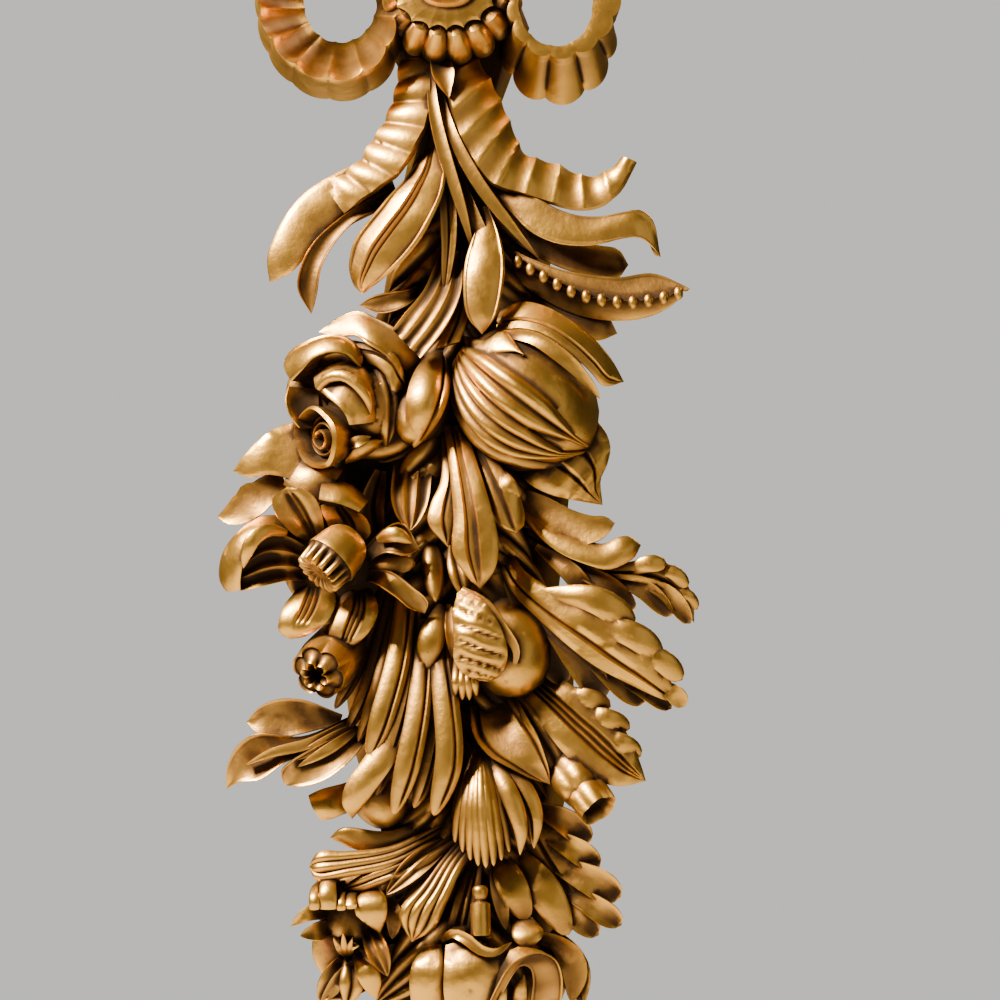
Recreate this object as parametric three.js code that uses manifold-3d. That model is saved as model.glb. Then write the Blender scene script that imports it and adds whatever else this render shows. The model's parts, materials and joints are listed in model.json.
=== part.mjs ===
// Floral wall drop: a pleated bow above a trail of leaves, a rose, a lily, buds and fruit.
// It is carved as one piece with a flat back and finished in gold.
// Millimetres, +Z up. The wall is the plane y = 0 and the carving stands out from it towards -Y.
import * as THREE from "three";
import Module from "manifold-3d";

const wasm = await Module();
wasm.setup();

// Driving sizes.
const LENGTH = 780; // top of the bow to the lowest leaf tip
const DEPTH = 86; // wall to the lip of the lily's trumpet
const LEAF_BODY = 5; // leaf, from its face to the keel behind it, near the tip
const LEAF_ROOT = 9; // extra body where a leaf grows out of the ground
const RIBBON_BODY = 4.5; // thickness of the ribbon
const RIBBON_FOLD = 3.4; // height of a pleat of the tails, in squares of the pattern

// Habits of the carving, as shares.
const KEEL = 0.15; // more keel behind a leaf for each unit of its half width
const FACE_DIP = 0.4; // where a hollow face crosses the leaf's own level, of its half width squared
const RIDGE = 0.28; // height of a ridge, of the half width that each ridge has
const NOTCH = 0.35; // depth of the notch between two lobes, of the half width
const RAKE = 0.5; // how far a lobed edge leans towards the tip, of the half width
const FLUTE = 0.12; // depth of the furrows of a fluted bud, of its radius
const SHOULDER = 0.8; // breadth of the ground at its shoulders, of its foot
const SHOULDER_OUT = 0.72; // how far the shoulders stand out, of the crest

// The carving is laid out on a squared pattern. A place is [across, up, out]:
// squares right of the drop's axis, squares above the datum line, and steps out from the wall.
const SQUARES_HIGH = 1293;
const STEPS_DEEP = 142;
const SQUARE = LENGTH / SQUARES_HIGH;
const STEP = DEPTH / STEPS_DEEP;
const FRONT = new THREE.Vector3(0, -1, 0);
const QUARTER = Math.PI / 2;
const mix = THREE.MathUtils.lerp;

const place = ([across, up, out]) => new THREE.Vector3(across * SQUARE, -out * STEP, up * SQUARE);
const moved = (point, direction, distance) => point.clone().addScaledVector(direction, distance);
const curveThrough = (places) => new THREE.CatmullRomCurve3(places.map(place), false, "centripetal");
const spread = (count) => Array.from({ length: count }, (_, i) => i);

// A closed solid from points and triangles, turned the right way out.
function solid(points, triangles) {
  const build = (order) =>
    new wasm.Manifold(
      new wasm.Mesh({
        numProp: 3,
        vertProperties: new Float32Array(points.flatMap((p) => p.toArray())),
        triVerts: new Uint32Array(order),
      }),
    );
  const made = build(triangles);
  return made.volume() > 0 ? made : build(triangles.slice().reverse());
}

// A solid from rings of points that all run the same way round, with as many points in each.
// A ring of one point is a tip. The ends are closed by fans, unless the last ring joins the first.
function solidFromRings(rings, joined = false) {
  const points = rings.flat();
  const starts = [];
  let count = 0;
  for (const ring of rings) {
    starts.push(count);
    count += ring.length;
  }
  const triangles = [];
  const bridge = (a, b) => {
    const sides = Math.max(rings[a].length, rings[b].length);
    for (const k of spread(sides)) {
      const next = (k + 1) % sides;
      const [p, q] = rings[a].length === 1 ? [starts[a], starts[a]] : [starts[a] + k, starts[a] + next];
      const [r, s] = rings[b].length === 1 ? [starts[b], starts[b]] : [starts[b] + k, starts[b] + next];
      if (p !== q) triangles.push(p, q, s);
      if (r !== s) triangles.push(p, s, r);
    }
  };
  for (const a of spread(rings.length - 1)) bridge(a, a + 1);
  if (joined) bridge(rings.length - 1, 0);
  const close = (index, forwards) => {
    const ring = rings[index];
    if (joined || ring.length === 1) return;
    const middle = ring.reduce((sum, p) => sum.add(p), new THREE.Vector3()).divideScalar(ring.length);
    points.push(middle);
    for (const k of spread(ring.length)) {
      const [p, q] = [starts[index] + k, starts[index] + ((k + 1) % ring.length)];
      triangles.push(...(forwards ? [p, q, points.length - 1] : [q, p, points.length - 1]));
    }
  };
  close(0, false);
  close(rings.length - 1, true);
  return solid(points, triangles);
}

// Half width of a leaf as a share of its greatest, at share t of the way from root to tip.
function outline(t, base, belly, point) {
  if (t < belly) return mix(base, 1, Math.sin(QUARTER * (t / belly)));
  return Math.cos(QUARTER * ((t - belly) / (1 - belly))) ** point;
}

// A carved leaf or petal, swept along a spine from its root to its tip. width is its half width.
// hollow raises the edges of the face above its middle. ribs are ridges that run along the blade.
// base is its half width at the root, belly where it is widest, and a low point makes a blunt tip.
// lobes notch both edges, which then lean towards the tip.
function leaf(spine, width, options = {}) {
  const { base = 0.35, belly = 0.5, point = 0.8, hollow = 0.25, ribs = 0, lobes = 0 } = options;
  const curve = curveThrough(spine);
  const steps = lobes ? 2 * lobes + 1 : 4;
  const faces = ribs ? 2 * ribs : 2;
  const rings = spread(steps).map((i) => {
    const t = i / steps;
    const spot = curve.getPoint(t);
    const along = curve.getTangent(t);
    const out = moved(FRONT, along, -FRONT.dot(along)).normalize();
    const across = new THREE.Vector3().crossVectors(along, out);
    const notch = lobes && i % 2 ? NOTCH : 0;
    const reach = width * SQUARE * outline(t, base, belly, point) * (1 - notch);
    const lean = lobes ? RAKE * reach : 0;
    const face = spread(faces + 1).map((k) => {
      const u = (2 * k) / faces - 1;
      const ridge = ribs && k % 2 ? (RIDGE * reach) / ribs : 0;
      const edge = moved(moved(spot, across, u * reach), along, lean * Math.abs(u));
      return moved(edge, out, hollow * reach * (u * u - FACE_DIP) + ridge);
    });
    const body = LEAF_BODY + LEAF_ROOT * (1 - t) ** 2 + KEEL * reach;
    return [...face, moved(spot, out, -body)];
  });
  return solidFromRings([...rings, [curve.getPoint(1)]]);
}

// A bud or fruit: round sections from root to tip. swell is where it is widest, blunt its roundness,
// and flutes are ridges that run along it.
function bud(root, tip, radius, { swell = 0.45, flutes = 0, blunt = 0.55 } = {}) {
  const levels = 4;
  const [from, to] = [place(root), place(tip)];
  const axis = moved(to, from, -1).normalize();
  const across = new THREE.Vector3().crossVectors(axis, FRONT).normalize();
  const up = new THREE.Vector3().crossVectors(axis, across);
  const sides = flutes ? 2 * flutes : 8;
  const rings = spread(levels - 1).map((i) => {
    const t = (i + 1) / levels;
    const share = t < swell ? Math.sin(QUARTER * (t / swell)) : outline(t, 0, swell, 1);
    const spot = from.clone().lerp(to, t);
    return spread(sides).map((k) => {
      const angle = (2 * Math.PI * k) / sides;
      const reach = radius * SQUARE * share ** blunt * (flutes && k % 2 ? 1 - FLUTE : 1);
      return moved(moved(spot, across, reach * Math.cos(angle)), up, reach * Math.sin(angle));
    });
  });
  return solidFromRings([[from], ...rings, [to]]);
}

// A ribbon between two edge lines, pleated across. fold is the height of a pleat in squares.
function ribbon(backEdge, frontEdge, pleats, fold) {
  const [back, front] = [curveThrough(backEdge), curveThrough(frontEdge)];
  const steps = 2 * pleats;
  const rings = spread(steps + 1).map((i) => {
    const t = i / steps;
    const [a, b] = [back.getPoint(t), front.getPoint(t)];
    const out = new THREE.Vector3().crossVectors(front.getTangent(t), moved(b, a, -1)).normalize();
    if (out.dot(FRONT) < 0) out.negate();
    const crest = (i % 2 ? 0.5 : -0.5) * fold * SQUARE;
    const under = crest - RIBBON_BODY;
    return [moved(a, out, crest), moved(b, out, crest), moved(b, out, under), moved(a, out, under)];
  });
  return solidFromRings(rings);
}

// Radius at an angle, from its values to the right, at the top, to the left and at the bottom.
function radiusAt(angle, [right, top, left, bottom]) {
  const [c, s] = [Math.cos(angle), Math.sin(angle)];
  return (c > 0 ? right : left) * c * c + (s > 0 ? top : bottom) * s * s;
}

// A closed loop of pleated ribbon round a centre. Its four edges are the hole at the back, the mouth
// and the rim in front, and the foot behind the rim. Each has radii to the right, top, left and
// bottom. The pleats are deepest at the front, and footFold is the share of them left at the foot.
function ribbonLoop([across, up], { hole, mouth, rim, foot, frontOut, backOut, pleats, fold, footFold = 0 }) {
  const steps = 2 * pleats;
  const rings = spread(steps).map((i) => {
    const angle = (2 * Math.PI * i) / steps;
    const wave = (i % 2 ? 0.5 : -0.5) * fold;
    const edge = (radii, out, more) => {
      const r = radiusAt(angle, radii) + more;
      return place([across + r * Math.cos(angle), up + r * Math.sin(angle), out]);
    };
    return [
      edge(hole, backOut, 0),
      edge(mouth, frontOut, rim ? 0 : wave),
      edge(rim ?? mouth.map((radius) => radius + RIBBON_BODY / SQUARE), frontOut, wave),
      edge(foot, backOut, footFold * wave),
    ];
  });
  return solidFromRings(rings, true);
}

// The ground that the carving grows from stands on the wall, from the bow to the last leaves.
// Each section is [up, left, right, out].
function ground() {
  const sections = [
    [545, -70, 45, 40], [480, -85, 70, 46], [400, -50, 50, 50], [290, -72, 84, 52], [200, -84, 84, 54],
    [90, -130, 110, 56], [-90, -140, 100, 56], [-170, -95, 110, 56], [-250, -105, 105, 56],
    [-340, -65, 80, 56], [-440, -95, 80, 54], [-530, -60, 70, 52], [-640, -16, 34, 38],
  ];
  const rings = sections.map(([up, left, right, out]) =>
    [
      [left, up, 0],
      [left * SHOULDER, up, out * SHOULDER_OUT],
      [(left + right) / 2, up, out],
      [right * SHOULDER, up, out * SHOULDER_OUT],
      [right, up, 0],
    ].map(place),
  );
  return solidFromRings(rings);
}

// Middle of the bow's knot.
const KNOT = [-13, 510];

function bow() {
  return [
    ribbonLoop([-122, 505], {
      hole: [37, 38, 36, 42],
      mouth: [58, 60, 76, 84],
      foot: [66, 69, 85, 101],
      backOut: 24,
      frontOut: 90,
      pleats: 15,
      fold: 6,
      footFold: 0.35,
    }),
    ribbonLoop([96, 505], {
      hole: [38, 52, 38, 54],
      mouth: [36, 50, 38, 54],
      rim: [63, 62, 48, 65],
      foot: [58, 66, 50, 103],
      backOut: 28,
      frontOut: 98,
      pleats: 15,
      fold: 6,
      footFold: 1,
    }),
    bud([...KNOT, 20], [...KNOT, 92], 34, { swell: 0.7, blunt: 0.35 }),
    ribbonLoop(KNOT, {
      hole: [62, 56, 54, 62],
      mouth: [50, 46, 46, 42],
      rim: [68, 58, 58, 66],
      foot: [72, 61, 61, 71],
      backOut: 22,
      frontOut: 92,
      pleats: 16,
      fold: 7,
      footFold: 1,
    }),
    ribbonLoop(KNOT, {
      hole: [36, 36, 36, 30],
      mouth: [22, 22, 22, 15],
      rim: [49, 48, 53, 41],
      foot: [48, 47, 52, 40],
      backOut: 88,
      frontOut: 104,
      pleats: 8,
      fold: -4,
      footFold: 1,
    }),
    ribbon(
      [[-61, 442, 52], [-64, 416, 54], [-70, 394, 56], [-90, 358, 60], [-115, 329, 58], [-129, 320, 54]],
      [[-31, 442, 60], [-30, 404, 70], [-35, 376, 76], [-60, 330, 80], [-99, 301, 70], [-110, 291, 64]],
      8,
      RIBBON_FOLD,
    ),
    ribbon(
      [[18, 444, 46], [43, 397, 56], [65, 347, 62], [96, 333, 62], [138, 323, 64], [172, 347, 76]],
      [[-24, 444, 60], [-2, 366, 76], [31, 314, 80], [75, 307, 76], [127, 294, 74], [175, 334, 80]],
      11,
      RIBBON_FOLD,
    ),
    leaf([[-26, 440, 60], [-22, 400, 72], [-14, 360, 78], [0, 300, 74]], 9, { base: 0.7 }),
  ];
}

function topSpray() {
  return [
    leaf([[-95, 322, 52], [-142, 298, 58], [-172, 262, 60], [-189, 219, 66]], 18, {
      base: 0.7,
      hollow: -0.2,
    }),
    leaf([[-100, 300, 54], [-138, 275, 60], [-155, 240, 62], [-157, 210, 64], [-148, 188, 66]], 12),
    leaf([[-18, 405, 56], [-20, 350, 72], [-35, 300, 82], [-66, 255, 80], [-100, 210, 68]], 28, {
      base: 0.2,
      belly: 0.62,
      ribs: 2,
    }),
    leaf([[-8, 300, 60], [-25, 262, 70], [-52, 228, 70], [-96, 194, 66]], 15, { belly: 0.65 }),
    leaf([[-3, 330, 60], [-8, 270, 80], [-26, 210, 86], [-48, 148, 88]], 26, { ribs: 2, belly: 0.75 }),
    leaf([[14, 320, 64], [30, 280, 84], [36, 230, 92], [22, 167, 92]], 19, { belly: 0.65 }),
    leaf([[28, 330, 52], [65, 290, 66], [120, 269, 72], [170, 273, 76], [192, 270, 76], [199, 246, 72]], 17, {
      base: 0.6,
      hollow: -0.2,
    }),
    leaf([[30, 290, 40], [100, 262, 50], [158, 228, 52]], 24),
    leaf([[40, 262, 54], [85, 232, 72], [140, 206, 78], [190, 204, 80], [229, 211, 84]], 19),
    leaf([[40, 230, 40], [100, 195, 52], [157, 165, 56]], 22),
  ];
}

function flutedBulb() {
  return [
    bud([30, 200, 44], [108, 44, 72], 62),
    leaf([[3, 160, 70], [40, 112, 116], [80, 68, 120], [116, 40, 84]], 32, {
      ribs: 3,
      base: 0.6,
      belly: 0.4,
    }),
    leaf([[2, 140, 66], [22, 92, 104], [55, 48, 106], [74, 26, 80]], 30, { ribs: 2, base: 0.6, belly: 0.4 }),
    leaf([[45, 182, 56], [90, 172, 92], [130, 146, 94], [164, 119, 74]], 14, { base: 0.7 }),
    leaf([[75, 78, 50], [115, 42, 66], [145, -3, 62]], 40, { ribs: 2, base: 0.6, belly: 0.35 }),
  ];
}

function rose() {
  return [
    bud([-82, 92, 0], [-88, 98, 66], 56, { swell: 0.8, blunt: 0.4 }),
    bud([-88, 98, 30], [-115, 80, 92], 44),
    bud([-35, 115, 40], [-46, 75, 98], 35, { blunt: 0.6 }),
    bud([-112, 80, 48], [-145, 72, 90], 28, { swell: 0.7, blunt: 0.35 }),
    leaf([[-84, 122, 66], [-112, 124, 96], [-126, 106, 100], [-130, 70, 84]], 26, {
      base: 0.6,
      hollow: -0.5,
    }),
    leaf([[-40, 138, 60], [-74, 164, 78], [-103, 180, 64], [-142, 171, 50]], 12, { hollow: -0.2 }),
    leaf([[-99, 134, 84], [-128, 158, 82], [-155, 148, 70], [-172, 132, 56]], 13, { hollow: -0.3 }),
    leaf([[-160, 112, 56], [-161, 95, 66], [-150, 70, 74]], 12, { hollow: -0.3 }),
    leaf([[-80, 134, 60], [-73, 104, 72], [-72, 50, 62]], 13, { hollow: -0.3 }),
    leaf([[-113, 40, 74], [-98, 46, 84], [-74, 60, 76]], 8, { hollow: -0.3 }),
  ];
}

function leftLeaves() {
  return [
    leaf([[-136, 42, 54], [-172, 46, 66], [-204, 38, 64], [-229, 28, 56]], 25, { base: 0.9, hollow: -0.12 }),
    leaf([[-140, 22, 52], [-180, 12, 60], [-212, 4, 62], [-244, -17, 52]], 17, { base: 0.7 }),
    leaf([[-120, 34, 66], [-146, 24, 74], [-174, 8, 70]], 20, { base: 0.7, hollow: -0.2 }),
  ];
}

function lily() {
  return [
    bud([-130, -66, 0], [-126, -62, 70], 52, { swell: 0.8, blunt: 0.4 }),
    leaf([[-144, -44, 62], [-182, -45, 86], [-214, -62, 90], [-222, -90, 74]], 32, {
      base: 0.7,
      belly: 0.6,
      point: 0.4,
    }),
    leaf([[-146, -44, 60], [-164, -18, 86], [-171, 12, 84]], 21, { point: 0.5, ribs: 2 }),
    leaf([[-108, -44, 60], [-111, -14, 82], [-120, 2, 86]], 22, { point: 0.5, ribs: 2 }),
    leaf([[-140, 18, 84], [-112, 8, 88], [-92, -4, 74]], 14, { base: 0.8, hollow: -0.25 }),
    leaf([[-94, -56, 62], [-72, -38, 90], [-50, -36, 94], [-34, -42, 84]], 17),
    leaf([[-94, -66, 58], [-64, -64, 78], [-44, -66, 74]], 8),
    leaf([[-96, -74, 60], [-66, -78, 88], [-46, -98, 92], [-35, -113, 82]], 13),
    leaf([[-150, -82, 60], [-156, -106, 84], [-169, -139, 82]], 27, { point: 0.5, hollow: -0.3 }),
    leaf([[-103, -88, 60], [-104, -116, 84], [-120, -155, 80]], 22, { point: 0.5, hollow: -0.3 }),
    bud([-114, -32, 46], [-132, -82, 142], 28, { blunt: 0.3, swell: 0.85 }),
  ];
}

function middleLeaves() {
  return [
    leaf([[-8, 80, 50], [-2, 20, 80], [10, -30, 94], [18, -88, 96]], 32, { ribs: 3, belly: 0.65 }),
    leaf([[22, 60, 50], [40, 20, 84], [54, -32, 86]], 20, { ribs: 2, belly: 0.65 }),
    leaf([[-50, 40, 50], [-54, 4, 74], [-50, -30, 78]], 20, { ribs: 2 }),
    leaf([[-28, -30, 54], [-24, -70, 84], [-22, -100, 84]], 13),
    leaf([[50, 8, 48], [86, -14, 66], [120, -30, 74], [155, -23, 70]], 17, { base: 0.6 }),
    leaf([[58, -6, 50], [95, -32, 68], [143, -56, 80], [176, -52, 76], [181, -45, 72]], 15, {
      hollow: -0.3,
      point: 0.5,
    }),
    leaf([[64, -42, 44], [120, -70, 64], [178, -88, 74], [222, -92, 68], [239, -128, 58]], 27, { lobes: 5 }),
    leaf([[46, -66, 48], [78, -104, 74], [118, -142, 86], [166, -170, 88], [227, -208, 66]], 43, {
      base: 0.6,
      lobes: 5,
    }),
  ];
}

function fruit() {
  return [
    bud([60, -120, 24], [38, -150, 100], 50, { swell: 0.6, blunt: 0.5 }),
    leaf([[-4, -90, 76], [20, -120, 116], [44, -172, 106]], 34, { hollow: -0.4, belly: 0.45, base: 0.6 }),
    leaf([[-24, -95, 54], [-28, -135, 84], [-30, -170, 78]], 15, { hollow: -0.3 }),
    leaf([[4, -150, 60], [6, -178, 92], [6, -204, 80]], 18, { ribs: 3 }),
    bud([-108, -150, 30], [-142, -178, 98], 36, { swell: 0.7, blunt: 0.4 }),
  ];
}

// The wide leaf left of centre has long lobes. Each has its spine and its half width.
function longLobes() {
  const lobes = [
    [[[-76, -90, 46], [-98, -148, 60], [-112, -184, 62], [-126, -210, 54]], 8],
    [[[-68, -90, 48], [-85, -160, 64], [-100, -206, 68], [-116, -236, 60]], 9],
    [[[-54, -90, 56], [-62, -160, 80], [-77, -215, 88], [-91, -257, 84]], 13],
    [[[-46, -100, 56], [-54, -190, 80], [-70, -250, 84], [-84, -297, 72]], 11],
    [[[-36, -120, 60], [-40, -200, 86], [-51, -260, 92], [-66, -314, 84]], 13],
    [[[-26, -120, 60], [-14, -200, 88], [-11, -260, 94], [-26, -315, 86]], 14],
  ];
  return lobes.map(([spine, width]) => leaf(spine, width, { belly: 0.7, base: 0.8, hollow: -0.35 }));
}

function fans() {
  return [
    ...longLobes(),
    leaf([[-54, -206, 64], [-94, -260, 86], [-108, -319, 74]], 14, { hollow: -0.3 }),
    bud([-86, -270, 26], [-72, -328, 62], 31),
    leaf([[-119, -220, 54], [-158, -216, 70], [-190, -218, 74], [-214, -222, 64]], 18, { base: 0.6 }),
    leaf([[-112, -224, 54], [-160, -244, 78], [-208, -260, 82], [-234, -289, 68]], 20, { base: 0.5 }),
    leaf([[-94, -234, 56], [-124, -252, 80], [-156, -270, 86], [-176, -285, 74]], 16),
    leaf([[-86, -290, 50], [-120, -300, 64], [-148, -310, 64]], 15, { base: 0.9, hollow: -0.3 }),
    leaf([[32, -200, 56], [42, -226, 78], [62, -250, 86], [90, -284, 76]], 30, { base: 0.7, hollow: 0.3 }),
    leaf([[54, -176, 50], [92, -212, 72], [128, -240, 80], [160, -260, 78], [186, -281, 70]], 33, {
      base: 0.6,
      ribs: 3,
    }),
    bud([8, -235, 48], [36, -372, 88], 36, { flutes: 5, swell: 0.6, blunt: 0.4 }),
    leaf([[20, -242, 56], [47, -270, 76], [70, -302, 84], [78, -342, 76]], 16, { hollow: -0.3 }),
    bud([85, -248, 46], [140, -318, 86], 27, { swell: 0.7, blunt: 0.4 }),
  ];
}

function lowerFans() {
  return [
    leaf([[-20, -320, 46], [-76, -342, 62], [-131, -339, 56]], 11),
    leaf([[-14, -328, 50], [-64, -354, 74], [-114, -363, 78], [-151, -367, 68]], 15, { ribs: 2, point: 0.5 }),
    leaf([[-8, -340, 52], [-50, -364, 76], [-84, -378, 78], [-120, -389, 68]], 10),
    leaf([[4, -346, 52], [-18, -376, 80], [-40, -402, 88], [-48, -441, 78]], 22, { ribs: 2, belly: 0.65 }),
    leaf([[66, -310, 42], [96, -346, 60], [112, -380, 66], [161, -424, 52]], 30, { lobes: 4 }),
    leaf([[38, -356, 54], [52, -386, 78], [67, -420, 76]], 14, { point: 0.5, hollow: -0.3 }),
    leaf([[52, -352, 50], [85, -393, 74], [109, -436, 70]], 16, { point: 0.5, hollow: -0.25 }),
  ];
}

function lowerFlowers() {
  return [
    bud([-110, -435, 0], [-110, -432, 56], 40, { swell: 0.8, blunt: 0.4 }),
    bud([-104, -440, 36], [-122, -428, 88], 27, { swell: 0.8, blunt: 0.35 }),
    leaf([[-145, -384, 62], [-145, -412, 88]], 6, { base: 0.9, point: 0.3, hollow: -0.2 }),
    leaf([[-130, -376, 62], [-130, -413, 92]], 10, { base: 0.9, point: 0.3, hollow: -0.2 }),
    leaf([[-98, -384, 60], [-89, -410, 84], [-79, -435, 92]], 16, { base: 0.9, point: 0.3, hollow: -0.2 }),
    leaf([[-130, -416, 60], [-150, -415, 86], [-169, -422, 84]], 9),
    leaf([[-108, -442, 56], [-82, -456, 78], [-72, -480, 70]], 12),
    leaf([[-110, -452, 52], [-100, -480, 66], [-108, -508, 58]], 14),
    bud([2, -490, 30], [8, -475, 84], 54, { blunt: 0.45 }),
    leaf([[-26, -438, 72], [-34, -462, 90], [-33, -490, 96], [-24, -520, 78]], 21, {
      base: 0.7,
      hollow: -0.35,
    }),
    leaf([[20, -438, 78], [24, -465, 98], [20, -500, 96], [12, -526, 80]], 34, { base: 0.9, hollow: -0.25 }),
    leaf([[85, -430, 56], [96, -462, 82], [82, -500, 86]], 13),
    leaf([[96, -436, 50], [120, -468, 66], [114, -504, 64]], 13),
    leaf([[-20, -438, 70], [5, -430, 92], [32, -446, 98], [54, -444, 90]], 7),
  ];
}

function tailEnd() {
  return [
    leaf([[60, -440, 46], [108, -465, 64], [124, -505, 60]], 19),
    leaf([[-50, -450, 46], [-110, -482, 60], [-140, -505, 56]], 17),
    leaf([[-30, -520, 42], [-80, -565, 64], [-108, -632, 58]], 28, { lobes: 3 }),
    leaf([[40, -520, 42], [92, -570, 64], [112, -640, 58]], 28, { lobes: 3 }),
    leaf([[-10, -570, 40], [-26, -640, 64], [-44, -690, 54]], 20, { ribs: 2 }),
    leaf([[25, -570, 40], [42, -640, 64], [54, -692, 54]], 20, { ribs: 2 }),
    bud([4, -545, 36], [6, -655, 80], 26, { flutes: 5 }),
    leaf([[6, -620, 34], [6, -680, 54], [4, -718, 46]], 20),
  ];
}

// All forms grow into one another. What lies behind the wall plane is cut away, and only the outer
// skin is kept, so that no pocket stays closed in where leaves cross.
function carveDrop() {
  const forms = [
    ground(), ...bow(), ...topSpray(), ...flutedBulb(), ...rose(), ...leftLeaves(), ...lily(),
    ...middleLeaves(), ...fruit(), ...fans(), ...lowerFans(), ...lowerFlowers(), ...tailEnd(),
  ];
  const wall = solidFromRings(
    [LENGTH, -LENGTH].map((z) =>
      [
        [-LENGTH, 0],
        [LENGTH, 0],
        [LENGTH, DEPTH],
        [-LENGTH, DEPTH],
      ].map(([x, y]) => new THREE.Vector3(x, y, z)),
    ),
  );
  const joined = forms.reduce((carving, form) => carving.add(form));
  const skins = joined.subtract(wall).decompose();
  return skins.reduce((outer, skin) => (skin.volume() > outer.volume() ? skin : outer));
}

function toMesh(carving, name, material) {
  const { vertProperties, triVerts } = carving.getMesh();
  const geometry = new THREE.BufferGeometry();
  geometry.setAttribute("position", new THREE.BufferAttribute(new Float32Array(vertProperties), 3));
  geometry.setIndex(new THREE.BufferAttribute(triVerts, 1));
  geometry.computeVertexNormals();
  const mesh = new THREE.Mesh(geometry, material);
  mesh.name = name;
  return mesh;
}

const gold = new THREE.MeshStandardMaterial({ color: 0xb98a3e, roughness: 0.38, metalness: 0.9 });
const drop = new THREE.Group();
drop.add(toMesh(carveDrop(), "floral_drop", gold));
export default drop;
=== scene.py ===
# %% [markdown]
# # A gilded floral drop
# The real object is one piece of carved wood, gessoed and gilded: a pleated ribbon bow with a trail of
# leaves, a rose, a lily, buds and fruit below it. Its back is flat, because it hangs on a wall.
# The imported solid already has every leaf in its place with plain faces. Here the same leaves are
# carved finely, joined into one skin again, and finished in worn gold, with shade painted into its
# hollows.

# %% Load the frame
import json
import math

import bmesh
import bpy
import numpy as np
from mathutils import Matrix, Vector
from mathutils.bvhtree import BVHTree

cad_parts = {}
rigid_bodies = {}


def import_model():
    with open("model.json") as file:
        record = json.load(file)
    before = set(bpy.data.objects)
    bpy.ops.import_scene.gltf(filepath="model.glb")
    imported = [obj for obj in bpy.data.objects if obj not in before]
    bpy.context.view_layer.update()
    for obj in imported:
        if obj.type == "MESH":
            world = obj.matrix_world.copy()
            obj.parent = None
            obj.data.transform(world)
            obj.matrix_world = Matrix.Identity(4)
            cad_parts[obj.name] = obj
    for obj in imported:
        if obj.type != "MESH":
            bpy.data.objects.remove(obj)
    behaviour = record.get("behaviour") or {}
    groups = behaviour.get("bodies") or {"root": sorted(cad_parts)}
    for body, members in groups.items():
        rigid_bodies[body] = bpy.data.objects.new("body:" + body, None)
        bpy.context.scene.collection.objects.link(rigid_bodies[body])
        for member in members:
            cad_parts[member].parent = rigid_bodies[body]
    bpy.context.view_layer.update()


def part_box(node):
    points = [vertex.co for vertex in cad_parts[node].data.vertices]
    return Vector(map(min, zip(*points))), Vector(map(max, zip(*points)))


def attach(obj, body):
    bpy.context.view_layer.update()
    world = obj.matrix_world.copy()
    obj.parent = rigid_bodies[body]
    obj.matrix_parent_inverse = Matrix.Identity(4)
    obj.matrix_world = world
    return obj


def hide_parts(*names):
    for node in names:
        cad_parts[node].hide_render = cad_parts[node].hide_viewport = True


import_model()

NODE = "floral_drop"
low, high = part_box(NODE)
print("solid is", round(high.z - low.z, 4), "m high and", round(high.y - low.y, 4), "m deep")

# %% [markdown]
# ## The squared pattern
# A carver lays such a drop out on squared paper. A place is (right, down, out): squares from the left
# edge of the pattern, squares down from its top, and steps out from the wall. The size of a square
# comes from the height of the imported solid, so the fine carving and the plain one always agree.

# %% Squares and steps
SQUARES_HIGH = 1293
STEPS_DEEP = 142
AXIS = 460
MIDDLE = 500
SQUARE = (high.z - low.z) / SQUARES_HIGH
STEP = (high.y - low.y) / STEPS_DEEP
MM = 0.001
FRONT = np.array([0.0, -1.0, 0.0])
UP = np.array([0.0, 0.0, 1.0])
NO_LENGTH = 1e-12
NO_GAP = 1e-6


def place(spot):
    right, down, out = spot
    return np.array([(right - AXIS) * SQUARE, -out * STEP, (MIDDLE - down) * SQUARE])


def unit(vectors):
    return vectors / np.maximum(np.linalg.norm(vectors, axis=-1, keepdims=True), NO_LENGTH)


def through(points, shares):
    """Points and tangents at shares 0 to 1 of a smooth centripetal curve through the given points."""
    p = np.asarray(points, float)
    p = np.vstack([2 * p[0] - p[1], p, 2 * p[-1] - p[-2]])
    last = len(p) - 4
    scaled = np.asarray(shares, float) * (last + 1)
    cell = np.clip(scaled.astype(int), 0, last)
    w = (scaled - cell)[:, None]
    a, b, c, d = p[cell], p[cell + 1], p[cell + 2], p[cell + 3]
    gap = []
    for start, stop in ((a, b), (b, c), (c, d)):
        gap.append(np.maximum(np.sqrt(np.linalg.norm(stop - start, axis=1)), NO_GAP)[:, None])
    m1 = ((b - a) / gap[0] - (c - a) / (gap[0] + gap[1]) + (c - b) / gap[1]) * gap[1]
    m2 = ((c - b) / gap[1] - (d - b) / (gap[1] + gap[2]) + (d - c) / gap[2]) * gap[1]
    spots = b + m1 * w + (3 * (c - b) - 2 * m1 - m2) * w**2 + (2 * (b - c) + m1 + m2) * w**3
    runs = m1 + 2 * (3 * (c - b) - 2 * m1 - m2) * w + 3 * (2 * (b - c) + m1 + m2) * w**2
    return spots, unit(runs)


print("one square is", round(SQUARE / MM, 3), "mm and one step", round(STEP / MM, 3), "mm")

# %% [markdown]
# ## Closed skins
# Every leaf, petal and bud is first a closed skin of its own: rings of points, bridged one to the next
# and closed at both ends. Extruding and sculpting by hand would do for one leaf, but a ring loft gives
# each of them the same clean edge flow, and a boolean can join them later without a gap.

# %% Skin from rings
shells = bpy.data.collections.new("shells")
bpy.context.scene.collection.children.link(shells)
counted = {}


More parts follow.
